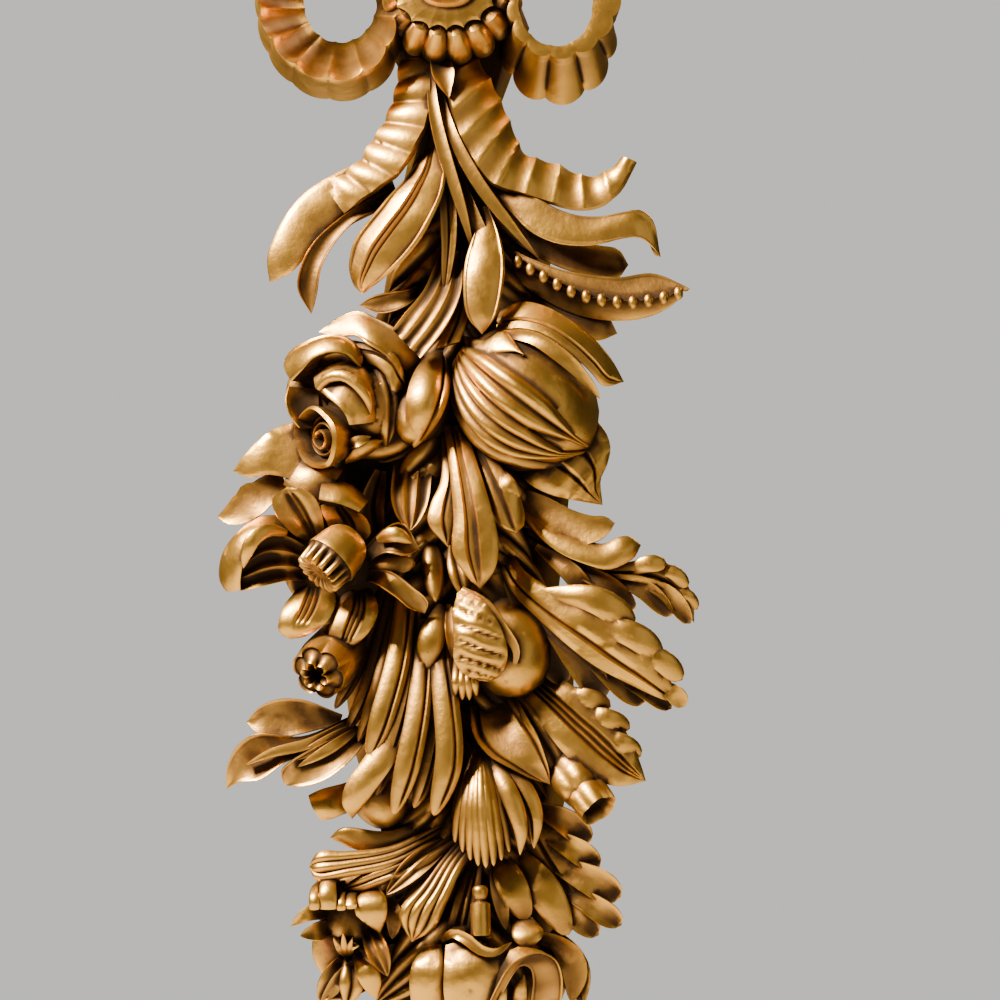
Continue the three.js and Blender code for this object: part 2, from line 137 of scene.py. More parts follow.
def keep_shell(name, vertices, faces):
    mesh = bpy.data.meshes.new(name)
    mesh.from_pydata([tuple(v) for v in vertices], [], faces)
    work = bmesh.new()
    work.from_mesh(mesh)
    bmesh.ops.recalc_face_normals(work, faces=work.faces)
    work.to_mesh(mesh)
    work.free()
    shell = bpy.data.objects.new(name, mesh)
    shells.objects.link(shell)
    counted[name] = counted.get(name, 0) + 1
    return shell


def skin(name, rings, tip=None, joined=False):
    """A closed skin through rings of equal count. Its ends close on a point, or on each other if joined."""
    rings = np.asarray(rings)
    count, sides = rings.shape[:2]
    vertices = list(rings.reshape(-1, 3))
    faces = []
    last = count if joined else count - 1
    for i in range(last):
        for k in range(sides):
            a, b = i * sides + k, i * sides + (k + 1) % sides
            j = (i + 1) % count
            faces.append((a, b, j * sides + (k + 1) % sides, j * sides + k))
    if not joined:
        for index, point in ((0, None), (count - 1, tip)):
            vertices.append(rings[index].mean(0) if point is None else point)
            hub = len(vertices) - 1
            for k in range(sides):
                pair = (index * sides + k, index * sides + (k + 1) % sides)
                faces.append((*(pair[::-1] if index == 0 else pair), hub))
    return keep_shell(name, vertices, faces)


# %% [markdown]
# ## One carved blade
# Every leaf and petal is a blade: a face between two edges, crisp at its rim and thicker behind so
# that it can't snap. A carver then works the face with few tools: a V-tool leaves narrow dark lines, a
# gouge leaves hollow flutes with sharp arrises, and rounding over leaves strands. One function cuts the
# face in those ways, so each blade needs only its two edges and a few plain words.

# %% Lines and tool marks
LINE_STEPS = 160
ROW_SQUARES = 6.2
V_SQUARES = 2.4
LIP_AT = 0.84
LIP_SLOPE = 0.08
STRAND_DEEP = 0.62
CUT_DEEP = 1.15
CUT_FADE = 0.12
BAR_DEEP = 0.15
BAR_SLANT = 0.16
BAR_NARROW = 5
PITS = 9
PIT_DEEP = 0.16
PIT_SHORT = 3.2
PIT_WIDE = 0.02
HAND_DEEP = 0.03
PLAIN_COLUMNS = 7


def evenly(points, shares):
    """Places at shares of the length of a smooth line, and that length in squares."""
    dense, _ = through([place(p) for p in points], np.linspace(0, 1, LINE_STEPS))
    steps = np.linalg.norm(np.diff(dense, axis=0), axis=1)
    run = np.concatenate([[0], np.cumsum(steps)]) / steps.sum()
    spots = np.stack([np.interp(shares, run, dense[:, axis]) for axis in range(3)], 1)
    return spots, steps.sum() / SQUARE


def columns(strands, cuts, cut_wide, lip):
    """Places across a blade, from -1 to 1, with one on every arris, cut and lip."""
    u = np.linspace(-1, 1, 1 + (4 * strands if strands else PLAIN_COLUMNS))
    for cut in cuts:
        u = u[np.abs(u - cut) > 1.3 * cut_wide]
        u = np.concatenate([u, [cut - cut_wide, cut, cut + cut_wide]])
    if lip:
        u = u[(np.abs(np.abs(u) - LIP_AT) > LIP_SLOPE) | (np.abs(u) == 1)]
        u = np.concatenate([u, [-LIP_AT - LIP_SLOPE, -LIP_AT, LIP_AT, LIP_AT + LIP_SLOPE]])
    return np.unique(np.clip(u, -1, 1))


def worked(t, u, size, crown, strands, hollow, cuts, cut_wide, run, lip, bars, pits):
    """How far the face stands over the chord between the edges, at t along and u across."""
    height = crown * size * (1 - u**2)
    if strands:
        share = (strands * (u + 1) / 2) % 1
        height += (-1 if hollow else 1) * STRAND_DEEP * size / strands * 4 * share * (1 - share)
    for cut in cuts:
        fade = np.clip((run + CUT_FADE - t) / CUT_FADE, 0, 1)
        height -= CUT_DEEP * cut_wide * size * np.clip(1 - np.abs(u - cut) / cut_wide, 0, 1) * fade
    if lip:
        height += lip * size * np.clip((np.abs(u) - LIP_AT) / LIP_SLOPE, 0, 1)
    if bars:
        wave = np.abs(np.cos(math.pi * bars * (t - BAR_SLANT * u))) ** BAR_NARROW
        height -= BAR_DEEP * size * wave * (1 - u**6)
    for k in range(PITS if pits else 0):
        spot_t, spot_u = 0.15 + 0.75 * (k * 0.618 % 1), 1.4 * (k * 0.414 % 1) - 0.7
        far = ((t - spot_t) * PIT_SHORT) ** 2 + (u - spot_u) ** 2
        height -= pits * PIT_DEEP * size * np.exp(-far / PIT_WIDE)
    return height + HAND_DEEP * size * np.sin(7 * t + 2.4 * u + 900 * size)


print("tool marks: V-cuts", V_SQUARES, "squares wide, rows of points", ROW_SQUARES, "squares apart")


# %% Blade
LEAF_BODY = 5 * MM
ROOT_OUT = 26
KEEL = 0.15
EDGE = 1.4 * MM
ACROSS_BACK = np.array([1.0, 0.6, 0.2, -0.2, -0.6, -1.0])
BACK_INSET = 0.97
ROUND_OVER = 0.3
EDGE_DROP = 0.45


def carved(
    left, right, tip, t, body=1.0, crown=0.15, ribs=0, scoops=0, cuts=(), run=0.9, lip=0.0, bars=0, pits=0.0,
    rooted=True,
):
    """A worked face between two edges, with its rounded rim and its thicker back."""
    middle, half = (left + right) / 2, (right - left) / 2
    reach = np.linalg.norm(half, axis=1)
    out = unit(np.cross(unit(np.gradient(middle, axis=0)), half))
    if (out @ FRONT).mean() < 0:
        out = -out
    cut_wide = float(np.clip(V_SQUARES * SQUARE / reach.mean(), 0.05, 0.24))
    strands = ribs or scoops
    u = columns(strands, cuts, cut_wide, lip)
    grid_t, grid_u = np.meshgrid(t, u, indexing="ij")
    size = reach[:, None]
    height = worked(
        grid_t, grid_u, size, crown, strands, scoops > 0, cuts, cut_wide, run, lip, bars, pits,
    )

    def spot(side, lift):
        return middle[:, None] + half[:, None] * side[..., None] + out[:, None] * lift[..., None]

    edge = np.minimum(EDGE, 0.5 * size)
    root = max(0.0, -middle[0][1] - ROOT_OUT * STEP) if rooted else 0.0
    thick = body * LEAF_BODY + root * (1 - t) ** 3 + (KEEL + max(0.0, -crown)) * reach
    depth = edge + (thick[:, None] - edge) * (1 - np.abs(ACROSS_BACK)) ** 0.7
    rim = np.where(ACROSS_BACK > 0, height[:, -1:], height[:, :1])
    ones = np.ones_like(depth)
    behind = spot(BACK_INSET * ACROSS_BACK * ones, rim * ACROSS_BACK**2 - depth)
    bulge = 1 + ROUND_OVER * edge / np.maximum(size, 1e-6)
    rings = np.concatenate([
        spot(u * np.ones_like(height), height), spot(bulge, height[:, -1:] - EDGE_DROP * edge), behind,
        spot(-bulge, height[:, :1] - EDGE_DROP * edge),
    ], axis=1)
    return skin("leaf", rings, tip=tip)


def row_shares(length, bars=0):
    rows = int(np.clip(length / ROW_SQUARES, 9, 32)) + 5 * bars
    return 1 - (1 - np.arange(rows) / rows) ** 1.25


def blade(left, right, tip=None, ragged=0.0, bars=0, **work):
    """A blade between two edge lines that meet in the tip. Without one the end is square."""
    ends = [tip] if tip else []
    t = row_shares(evenly([*left, *ends], [0.0])[1], bars)
    left_edge, _ = evenly([*left, *ends], t)
    right_edge, _ = evenly([*right, *ends], t)
    if ragged:
        chips = ragged * 0.12 * (np.abs(np.sin(8 * math.pi * t)) ** 0.4 - 0.7)
        left_edge = left_edge + (left_edge - right_edge) * chips[:, None]
    return carved(left_edge, right_edge, place(tip) if tip else None, t, bars=bars, **work)


print("a blade is", round(LEAF_BODY / MM, 1), "mm thick with an edge of", round(EDGE / MM, 1), "mm")

# %% Leaf on a spine
def outline(t, base, belly, point):
    rising = base + (1 - base) * np.sin(math.pi / 2 * np.clip(t / belly, 0, 1))
    falling = np.maximum(np.cos(math.pi / 2 * np.clip((t - belly) / (1 - belly), 0, 1)), 0) ** point
    return np.where(t < belly, rising, falling)


def leaf(spine, width, base=0.45, belly=0.5, point=0.75, crown=-0.2, **work):
    """A leaf with equal sides along its spine. width is its half width in squares."""
    t = row_shares(evenly(spine, [0.0])[1])
    spots, _ = evenly(spine, t)
    along = unit(np.gradient(spots, axis=0))
    out = unit(FRONT - along * (along @ FRONT)[:, None])
    side = np.cross(along, out) * (width * SQUARE * outline(t, base, belly, point))[:, None]
    return carved(spots - side, spots + side, place(spine[-1]), t, crown=crown, **work)


print("leaf maker is ready")

# %% [markdown]
# ## Turned forms
# Buds, fruit and the lily's trumpet are round. On the lathe they would be a profile turned about an
# axis, so that is how they are made, with furrows cut along them where the real ones have them. A husk
# is a ribbed shell that lies over part of a bud.

# %% Bud, fruit and trumpet
FLUTE = 0.12
TURNED_LEVELS = 20
HUSK_SQUARES = 5
HUSK_INSIDE = 4


def axes_of(start, end):
    axis = unit(end - start)
    across = unit(np.cross(axis, FRONT))
    return across, np.cross(axis, across)


def turned(name, root, tip, profile, flutes=0, depth=FLUTE, sides=36, sharp=0.7, flutes_from=-1.0):
    """profile lists (share along the axis, radius in squares) from the root's point to the tip's."""
    start, end = place(root), place(tip)
    across, up = axes_of(start, end)
    curve, _ = through([(x, r, 0) for x, r in profile], np.linspace(0, 1, TURNED_LEVELS))
    inner = curve[1:-1]
    angle = np.linspace(0, 2 * math.pi, sides, endpoint=False)
    furrow = depth * (1 - np.abs(np.sin(flutes * angle / 2)) ** sharp) if flutes else 0 * angle
    weight = np.clip((inner[:, :1] - flutes_from) / 0.12, 0, 1)
    radius = np.maximum(inner[:, 1:2], 0.3) * SQUARE * (1 - weight * furrow)
    centre = start + np.outer(inner[:, 0], end - start)
    sideways = (radius * np.cos(angle))[..., None] * across
    upwards = (radius * np.sin(angle))[..., None] * up
    rings = centre[:, None] + sideways + upwards
    return skin(name, rings, tip=start + (end - start) * curve[-1, 0])


def girth(shares, radius, swell, blunt):
    rise = np.sin(math.pi / 2 * np.clip(shares / swell, 0, 1))
    fall = np.maximum(np.cos(math.pi / 2 * np.clip((shares - swell) / (1 - swell), 0, 1)), 0)
    return radius * np.where(shares < swell, rise, fall) ** blunt


def bud(root, tip, radius, swell=0.45, flutes=0, blunt=0.55):
    shares = np.linspace(0, 1, 13)
    sides = 8 * flutes if flutes else int(np.clip(radius, 12, 44))
    profile = list(zip(shares, girth(shares, radius, swell, blunt)))
    return turned("bud", root, tip, profile, flutes=flutes, sides=sides)


def husk(turn_from, turn_to, ribs, end, root, tip, radius, swell, blunt):
    """A ribbed shell over a bud, between two turns about its axis in degrees."""
    start, stop = place(root), place(tip)
    across, up = axes_of(start, stop)
    shares = np.linspace(0.03, 0.985, 22)
    u = np.linspace(-1, 1, 6 * ribs + 1)
    narrow = np.clip(girth(shares, 1.0, 0.5, 0.6), 0.2, 1)
    closing = np.clip((end - shares) / 0.25, 0.12, 1) ** 0.5
    angle = np.radians((turn_from + turn_to) / 2 + (turn_to - turn_from) / 2 * np.outer(closing, u))
    bare = girth(shares, radius, swell, blunt)[:, None]
    strand = (ribs * (u + 1) / 2) % 1
    lift = HUSK_SQUARES * (0.7 + 1.5 * 4 * strand * (1 - strand)) * narrow[:, None] * (1 - 0.6 * u**8)
    centre = start + np.outer(shares, stop - start)

    def shell(radii, angles):
        ring = (radii * np.cos(angles))[..., None] * across + (radii * np.sin(angles))[..., None] * up
        return centre[:, None] + ring * SQUARE

    outside = shell(bare + lift, angle)
    inside = shell(bare - HUSK_INSIDE + 0 * angle, angle)[:, ::-1]
    return skin("husk", np.concatenate([outside, inside], axis=1))


print("turned forms have", TURNED_LEVELS, "levels")

# %% Cup and spiral
CUP_SIDES = 40
SPIRAL_POINTS = 26


def flower_at(heart, opening):
    across, up, out = opening
    axis = unit(np.array([across, -out, up], float))
    side = unit(np.cross(axis, UP))
    return {"heart": place(heart), "axis": axis, "side": side, "top": np.cross(side, axis)}


def ring_about(flower, radius, angle, lift):
    return (
        flower["heart"] + np.multiply.outer(lift * SQUARE, flower["axis"])
        + np.multiply.outer(radius * SQUARE * np.cos(angle), flower["side"])
        + np.multiply.outer(radius * SQUARE * np.sin(angle), flower["top"])
    )


def cup(flower, profile):
    angle = np.linspace(0, 2 * math.pi, CUP_SIDES, endpoint=False)
    waver = 1 + 0.05 * np.sin(2 * angle + 0.6) + 0.03 * np.sin(5 * angle)
    rings = []
    for radius, lift in profile:
        rings.append(ring_about(flower, radius * waver, angle, np.full(CUP_SIDES, float(lift))))
    return skin("cup", np.array(rings))


def spiral(flower, turns, inner, outer, low, high_in, high_out, wall=3.2):
    share = np.linspace(0, 1, int(SPIRAL_POINTS * turns))
    angle = 2 * math.pi * turns * share
    radius = inner + (outer - inner) * share
    top = high_in + (high_out - high_in) * share
    section = [(0, low), (0, 0.9), (0.5, 1.0), (1, 0.9), (1, low)]
    rings = []
    for across, lift in section:
        height = np.full_like(top, float(low)) if lift == low else low + (top - low) * lift
        rings.append(ring_about(flower, radius + across * wall, angle, height))
    return skin("spiral", np.stack(rings, 1))


print("blade, bud, cup and spiral makers are ready")

# %% [markdown]
# ## Pleats by Geometry Nodes
# The ribbon is one smooth band with the same small fold carved again and again across it. Modelling
# each fold would be slow and uneven, so a node tree pushes the band's surface out and in along its
# run. The band carries two attributes: how far along the folds a point is, and which way it may move.

# %% Pleating tree
# The gilding material holds aged colour and also painted shade: its hollows and furrows are darkened in the
# colour itself.
gilding = bpy.data.materials.new("aged_gilding_painted_shade")


def new_tree(name, sizes):
    tree = bpy.data.node_groups.new(name, "GeometryNodeTree")
    tree.interface.new_socket("Geometry", in_out="INPUT", socket_type="NodeSocketGeometry")
    sockets = {}
    for label, kind in sizes.items():
        sockets[label] = tree.interface.new_socket(label, in_out="INPUT", socket_type=kind).identifier
    tree.interface.new_socket("Geometry", in_out="OUTPUT", socket_type="NodeSocketGeometry")
    return tree, sockets


def node(tree, kind, inputs=(), **settings):
    made = tree.nodes.new(kind)
    for key, value in settings.items():
        setattr(made, key, value)
    for socket, source in dict(inputs).items():
        if isinstance(source, bpy.types.NodeSocket):
            tree.links.new(source, made.inputs[socket])
        else:
            made.inputs[socket].default_value = source
    return made


def maths(tree, operation, *values):
    return node(tree, "ShaderNodeMath", dict(enumerate(values)), operation=operation).outputs[0]


def end_tree(tree, geometry):
    real = node(tree, "GeometryNodeRealizeInstances", {"Geometry": geometry})
    finish = node(tree, "GeometryNodeSetMaterial", {"Geometry": real.outputs[0], "Material": gilding})
    node(tree, "NodeGroupOutput", {"Geometry": finish.outputs[0]})


def keep_mesh(obj, modifier):
    """Makes what a modifier shows the object's own plain mesh, and takes the modifier off."""
    evaluated = obj.evaluated_get(bpy.context.evaluated_depsgraph_get())
    mesh = bpy.data.meshes.new_from_object(evaluated)
    obj.modifiers.remove(modifier)
    obj.data = mesh
    return obj


def through_tree(obj, tree, values):
    modifier = obj.modifiers.new(tree.name, "NODES")
    modifier.node_group = tree
    for identifier, value in values.items():
        modifier[identifier] = value
    return keep_mesh(obj, modifier)


pleating, pleat_sockets = new_tree("pleats", {"Fold": "NodeSocketFloat", "Softness": "NodeSocketFloat"})
group_in = node(pleating, "NodeGroupInput")
phase = node(pleating, "GeometryNodeInputNamedAttribute", {"Name": "fold_phase"}, data_type="FLOAT")
way = node(pleating, "GeometryNodeInputNamedAttribute", {"Name": "fold_way"}, data_type="FLOAT_VECTOR")
upright = maths(pleating, "ABSOLUTE", maths(pleating, "SINE", phase.outputs["Attribute"]))
soft = maths(pleating, "POWER", upright, group_in.outputs["Softness"])
centred = maths(pleating, "SUBTRACT", soft, 0.5)
sized = maths(pleating, "MULTIPLY", centred, group_in.outputs["Fold"])
shift = node(
    pleating, "ShaderNodeVectorMath", {0: way.outputs["Attribute"], "Scale": sized}, operation="SCALE",
)
moved = node(
    pleating, "GeometryNodeSetPosition",
    {"Geometry": group_in.outputs["Geometry"], "Offset": shift.outputs[0]},
)
end_tree(pleating, moved.outputs[0])


def pleat(shell, phases, ways, fold, softness=0.7):
    """Stores the two attributes on a band's points and runs the pleating tree on it."""
    count = len(shell.data.vertices)
    full_phase = np.zeros(count)
    full_way = np.zeros((count, 3))
    full_phase[: phases.size] = phases.ravel()
    full_way[: phases.size] = ways.reshape(-1, 3)
    kept = shell.data.attributes
    kept.new("fold_phase", "FLOAT", "POINT").data.foreach_set("value", full_phase)
    kept.new("fold_way", "FLOAT_VECTOR", "POINT").data.foreach_set("vector", full_way.ravel())
    values = {pleat_sockets["Fold"]: fold * SQUARE, pleat_sockets["Softness"]: softness}
    return through_tree(shell, pleating, values)


print("pleating tree has", len(pleating.nodes), "nodes")

# %% [markdown]
# ## Ribbon bands
# Two kinds of band make the bow. A tail runs between two edge lines. A hoop is closed: it runs round a
# centre with its own section, which serves for both loops and for the rings of the knot.

# %% Tails and hoops
RIBBON_BODY = 4.5 * MM
FOLD_POINTS = 12
ACROSS = 9
RIBBON_CROWN = 4.0
FOLD_LUMPS = 0.25
SIDE_STEPS = 7
WALL_STEPS = 6


def ribbon(back_edge, front_edge, pleats, fold, softness, slants, plain_from):
    """A tail of the bow. A negative fold hollows the pleats, and past plain_from they die out."""
    t = np.linspace(0, 1, FOLD_POINTS * pleats + 1)
    back, _ = evenly(back_edge, t)
    front, _ = evenly(front_edge, t)
    out = unit(np.cross(unit(np.gradient(front, axis=0)), front - back))
    out[out @ FRONT < 0] *= -1
    s = np.linspace(0, 1, ACROSS)
    crown = RIBBON_CROWN * SQUARE * (1 - (2 * s - 1) ** 2)
    face = back[:, None] + (front - back)[:, None] * s[:, None] + out[:, None] * crown[:, None]
    under = face[:, ::-1] - out[:, None] * RIBBON_BODY
    shell = skin("ribbon_tail", np.concatenate([face, under], axis=1))
    both = np.concatenate([s, s[::-1]])
    slant = slants[0] + (slants[1] - slants[0]) * t[:, None]
    phases = math.pi * (pleats * t[:, None] + slant * both)
    fade = np.clip((1 - t) / (1 - plain_from), 0, 1)[:, None, None]
    lumps = FOLD_LUMPS * (2 * both - 1) ** 3
    ways = (out[:, None] + unit(front - back)[:, None] * lumps[:, None]) * fade
    return pleat(shell, phases, ways, fold, softness)


def radius_at(angle, radii):
    right, top, left, bottom = radii
    c, s = np.cos(angle), np.sin(angle)
    return np.where(c > 0, right, left) * c * c + np.where(s > 0, top, bottom) * s * s


def hoop(name, centre, section, pleats, fold, puffed=False):
    """section lists (radii, out, share of the fold) round a closed section."""
    angle = np.linspace(0, 2 * math.pi, FOLD_POINTS * pleats, endpoint=False)
    c, s = np.cos(angle), np.sin(angle)
    means = np.array([(np.mean(radii), out) for radii, out, _ in section], float)
    runs = np.roll(means, -1, axis=0) - np.roll(means, 1, axis=0)
    swells = unit(np.stack([runs[:, 1], -runs[:, 0]], 1))
    rings, ways = [], []
    for (radii, out, share), swell in zip(section, swells):
        r = radius_at(angle, radii)
        x, y = centre
        rings.append(np.stack([place((x + a, y - b, out)) for a, b in zip(r * c, r * s)]))
        radial, forward = (swell[0], swell[1]) if puffed else (1.0, 0.0)
        ways.append(np.stack([radial * c, np.full_like(c, -forward), radial * s], 1) * share)
    rings, ways = np.stack(rings, 1), np.stack(ways, 1)
    shell = skin(name, rings, joined=True)
    phases = np.repeat((angle * pleats / 2)[:, None], len(section), axis=1)
    return pleat(shell, phases, ways, fold, softness=0.7)


def loop(
    name, centre, hole_back, hole_front, rim, base, back_out, front_out, inside, outside, pleats, fold,
):
    """A loop of the bow: a face that flares from its hole to a thin rim, and an outer wall behind."""
    back, front, lip, foot = (np.array(radii, float) for radii in (hole_back, hole_front, rim, base))
    rise = front_out - back_out
    section = []
    for share in np.linspace(0, 1, SIDE_STEPS):
        radii = back + (front - back) * share**0.9
        section.append((radii, back_out + rise * share, inside * (0.2 + 0.8 * share)))
    section.append(((front + lip) / 2, front_out + 1.5, (inside + outside) / 2))
    for share in np.linspace(0, 1, WALL_STEPS):
        radii = lip + (foot - lip) * share**1.2
        section.append((radii, front_out - rise * share, outside * (0.7 + 0.3 * share)))
    return hoop(name, centre, section, pleats, fold)


print("ribbon makers are ready")

# %% [markdown]
# ## The bow
# The bow's two loops are wedges of pleated ribbon. The left one opens to the viewer, so every pleat is a
# hollow flute on its inside. The right one turns away, and shows its pleats on the outside. The knot is
# a ring of puffed lobes with a scalloped dish on it, and two tails fall from it to either side.

# %% Bow
LEFT_LOOP = dict(
    centre=(338, -5), hole_back=(37, 38, 36, 42), hole_front=(58, 60, 76, 84), rim=(61, 63, 79, 88),
    base=(66, 69, 85, 101), back_out=24, front_out=90, inside=1.0, outside=0.35,
)
RIGHT_LOOP = dict(
    centre=(556, -5), hole_back=(38, 52, 38, 54), hole_front=(36, 50, 38, 54), rim=(63, 62, 48, 65),
    base=(58, 66, 50, 103), back_out=28, front_out=98, inside=0.15, outside=1.0,
)
loop("left_loop", pleats=15, fold=7, **LEFT_LOOP)
loop("right_loop", pleats=15, fold=7, **RIGHT_LOOP)
KNOT = (447, -10)
DRUM = [
    ((62, 52, 54, 62), 20, 0.5), ((72, 60, 61, 71), 40, 1.0), ((73, 60, 62, 71), 62, 1.0),
    ((68, 57, 58, 64), 84, 1.0), ((58, 50, 52, 48), 96, 0.8), ((46, 46, 46, 38), 94, 0.3),
    ((30, 30, 30, 28), 80, 0.0), ((30, 30, 30, 30), 22, 0.0),
]
PLATE = [
    ((20, 20, 20, 13), 78, 0.0), ((21, 21, 21, 14), 102, 0.0), ((25, 25, 25, 18), 107, 0.0),
    ((30, 30, 30, 22), 102, 0.0), ((42, 42, 46, 34), 103, 0.5), ((49, 48, 53, 41), 100, 1.0),
    ((49, 48, 53, 41), 94, 1.0), ((40, 40, 40, 34), 84, 0.0),
]
hoop("knot_drum", KNOT, DRUM, pleats=16, fold=8, puffed=True)
hoop("knot_plate", KNOT, PLATE, pleats=16, fold=-5)
bud((447, -10, 20), (447, -10, 92), 34, swell=0.7, blunt=0.35)
ribbon(
    [(399, 58, 52), (396, 84, 54), (390, 106, 56), (380, 128, 60), (370, 142, 60), (361, 157, 60),
     (345, 171, 58), (326, 184, 54)],
    [(429, 58, 60), (430, 96, 70), (425, 124, 76), (413, 149, 80), (400, 170, 80), (380, 186, 76),
     (361, 199, 70), (344, 213, 64)],
    pleats=7, fold=3.8, softness=0.9, slants=(0.5, 0.2), plain_from=0.9,
)
ribbon(
    [(478, 56, 46), (492, 80, 52), (503, 103, 56), (513, 127, 60), (525, 152, 62), (546, 160, 62),
     (562, 165, 62), (578, 173, 62), (594, 175, 64), (612, 167, 70), (622, 157, 76)],
    [(440, 56, 60), (450, 96, 70), (460, 134, 76), (475, 161, 80), (494, 184, 80), (520, 192, 76),
     (545, 200, 76), (565, 206, 74), (589, 208, 74), (612, 196, 78), (635, 162, 80)],
    pleats=9, fold=-3.6, softness=0.8, slants=(-0.9, 0.4), plain_from=0.86,
)

# %% [markdown]
# ## Strands and stems
# Between the tails the stems of the spray come down from the knot. They are thin and lie deep, so they
# are plain slender leaves that fill the gap with dark lines. Rows of the same leaves lie deep behind the
# whole drop, so that a gap between two leaves shows carving and not a bare ground.

# %% Strands between the tails
SPRAY_AXIS = 462
DEEP_TOP = 150
DEEP_ROWS = 24
DEEP_STEP = 34
DEEP_REACH = 78
DEEP_WIDTH = 19
for row in range(DEEP_ROWS):
    down = DEEP_TOP + row * DEEP_STEP
    for way in (-1, 1):
        reach = way * (DEEP_REACH + 9 * math.sin(2.3 * row + way))
        near, far = SPRAY_AXIS + 0.35 * reach, SPRAY_AXIS + reach
        spine = [(SPRAY_AXIS + 4 * way, down, 40), (near, down + 26, 56), (far, down + 74, 48)]
        leaf(spine, DEEP_WIDTH, ribs=2 + row % 2)
blade([(430, 56, 66), (434, 78, 76)], [(450, 56, 66), (454, 74, 74)], (449, 99, 74), crown=-0.4)
leaf([(430, 60, 60), (434, 110, 76), (446, 160, 84), (462, 210, 84), (474, 255, 78)], 6)
leaf([(440, 92, 60), (453, 136, 78), (478, 183, 82), (510, 225, 78), (540, 260, 66)], 6)
leaf([(438, 120, 60), (446, 180, 78), (449, 240, 82), (444, 300, 76)], 8, cuts=(0.0,))
leaf([(430, 80, 54), (430, 130, 64), (417, 176, 66), (392, 216, 58)], 8, cuts=(0.0,))
leaf([(448, 150, 60), (464, 195, 74), (484, 236, 78), (512, 262, 70)], 7)

# %% [markdown]
# ## The upper spray
# Long leaves fall from the knot to both sides. Each is a blade between the two edges read off the
# pattern: the left ones are smooth and rolled, the middle ones fluted, and one is pitted.

# %% Upper leaves
blade(
    [(380, 150, 48), (352, 164, 54), (323, 179, 58), (301, 195, 58), (287, 212, 60), (276, 232, 62),
     (267, 257, 62)],
    [(396, 190, 48), (355, 208, 58), (334, 224, 62), (317, 241, 66), (304, 257, 68), (291, 271, 64)],
    (269, 282, 58), crown=0.12, body=0.7,
)
blade(
    [(392, 186, 50), (355, 207, 60), (336, 221, 64), (316, 240, 68), (303, 262, 70), (298, 287, 68)],
    [(402, 204, 50), (366, 214, 62), (347, 228, 66), (331, 248, 70), (321, 268, 72), (317, 292, 70)],
    (311, 314, 62), crown=-0.35, lip=0.22,
)
blade(
    [(430, 140, 58), (408, 176, 70), (384, 204, 74), (367, 224, 72), (354, 244, 70), (350, 265, 68),
     (353, 283, 66)],
    [(440, 140, 62), (446, 170, 80), (443, 194, 88), (433, 220, 92), (417, 246, 92), (397, 268, 88),
     (378, 283, 80)],
    (362, 294, 68), crown=0.3, cuts=(-0.16, 0.06), lip=0.1,
)
blade([(422, 280, 54), (410, 289, 66), (375, 296, 70)], [(424, 290, 56), (404, 307, 72), (380, 313, 70)],
      (359, 305, 66), crown=-0.3, lip=0.2)
blade([(440, 250, 60), (424, 290, 78), (405, 315, 86), (391, 333, 86)],
      [(462, 250, 66), (461, 292, 84), (446, 326, 92), (418, 362, 90)], crown=0.1, scoops=3)
blade([(462, 282, 60), (450, 320, 74), (434, 352, 76)], [(470, 282, 62), (468, 316, 76), (458, 345, 78)],
      crown=0.3, cuts=(0.0,))
blade(
    [(482, 206, 62), (474, 235, 78), (466, 262, 86), (464, 290, 90), (468, 317, 90)],
    [(488, 206, 62), (499, 236, 80), (504, 263, 88), (502, 290, 92), (495, 317, 92)],
    (482, 335, 86), crown=0.22, lip=0.08, pits=0.35,
)
blade(
    [(489, 184, 62), (513, 190, 68), (534, 197, 72), (556, 209, 74), (577, 216, 76), (600, 217, 76),
     (622, 213, 76), (640, 211, 76), (652, 220, 74)],
    [(480, 190, 60), (505, 207, 68), (530, 231, 76), (555, 243, 80), (580, 246, 82), (602, 244, 82),
     (622, 239, 80), (640, 238, 78), (652, 246, 74)],
    (661, 257, 66), crown=0.12, lip=0.05,
)
blade([(505, 212, 46), (560, 238, 56), (600, 245, 58), (619, 249, 58)],
      [(500, 230, 48), (550, 262, 60), (590, 275, 62), (618, 277, 60)], (629, 264, 56), crown=-0.2)
blade(
    [(495, 236, 54), (519, 253, 66), (555, 268, 74), (591, 276, 76), (619, 278, 76), (652, 274, 76)],
    [(492, 246, 56), (520, 264, 72), (548, 281, 80), (580, 295, 84), (620, 302, 86), (656, 299, 84)],
    (690, 289, 80), crown=-0.15, lip=0.06,
)
blade(
    [(500, 246, 50), (541, 268, 64), (578, 285, 69), (620, 294, 71), (656, 292, 70)],
    [(498, 262, 50), (535, 293, 60), (580, 315, 62), (628, 320, 62), (660, 312, 62)],
    (684, 296, 68), crown=0.1,
)
blade([(505, 268, 46), (550, 290, 58), (580, 298, 60), (603, 308, 60)],
      [(505, 290, 46), (540, 313, 60), (570, 327, 64), (596, 340, 62)], (618, 333, 56), crown=-0.15)

# %% [markdown]
# ## Beads along an edge
# The beads are one small peg repeated at an even pitch along the leaf's edge. The node tree resamples
# the edge line to the wanted count and puts a ball on every point, drawn out upwards like a peg.

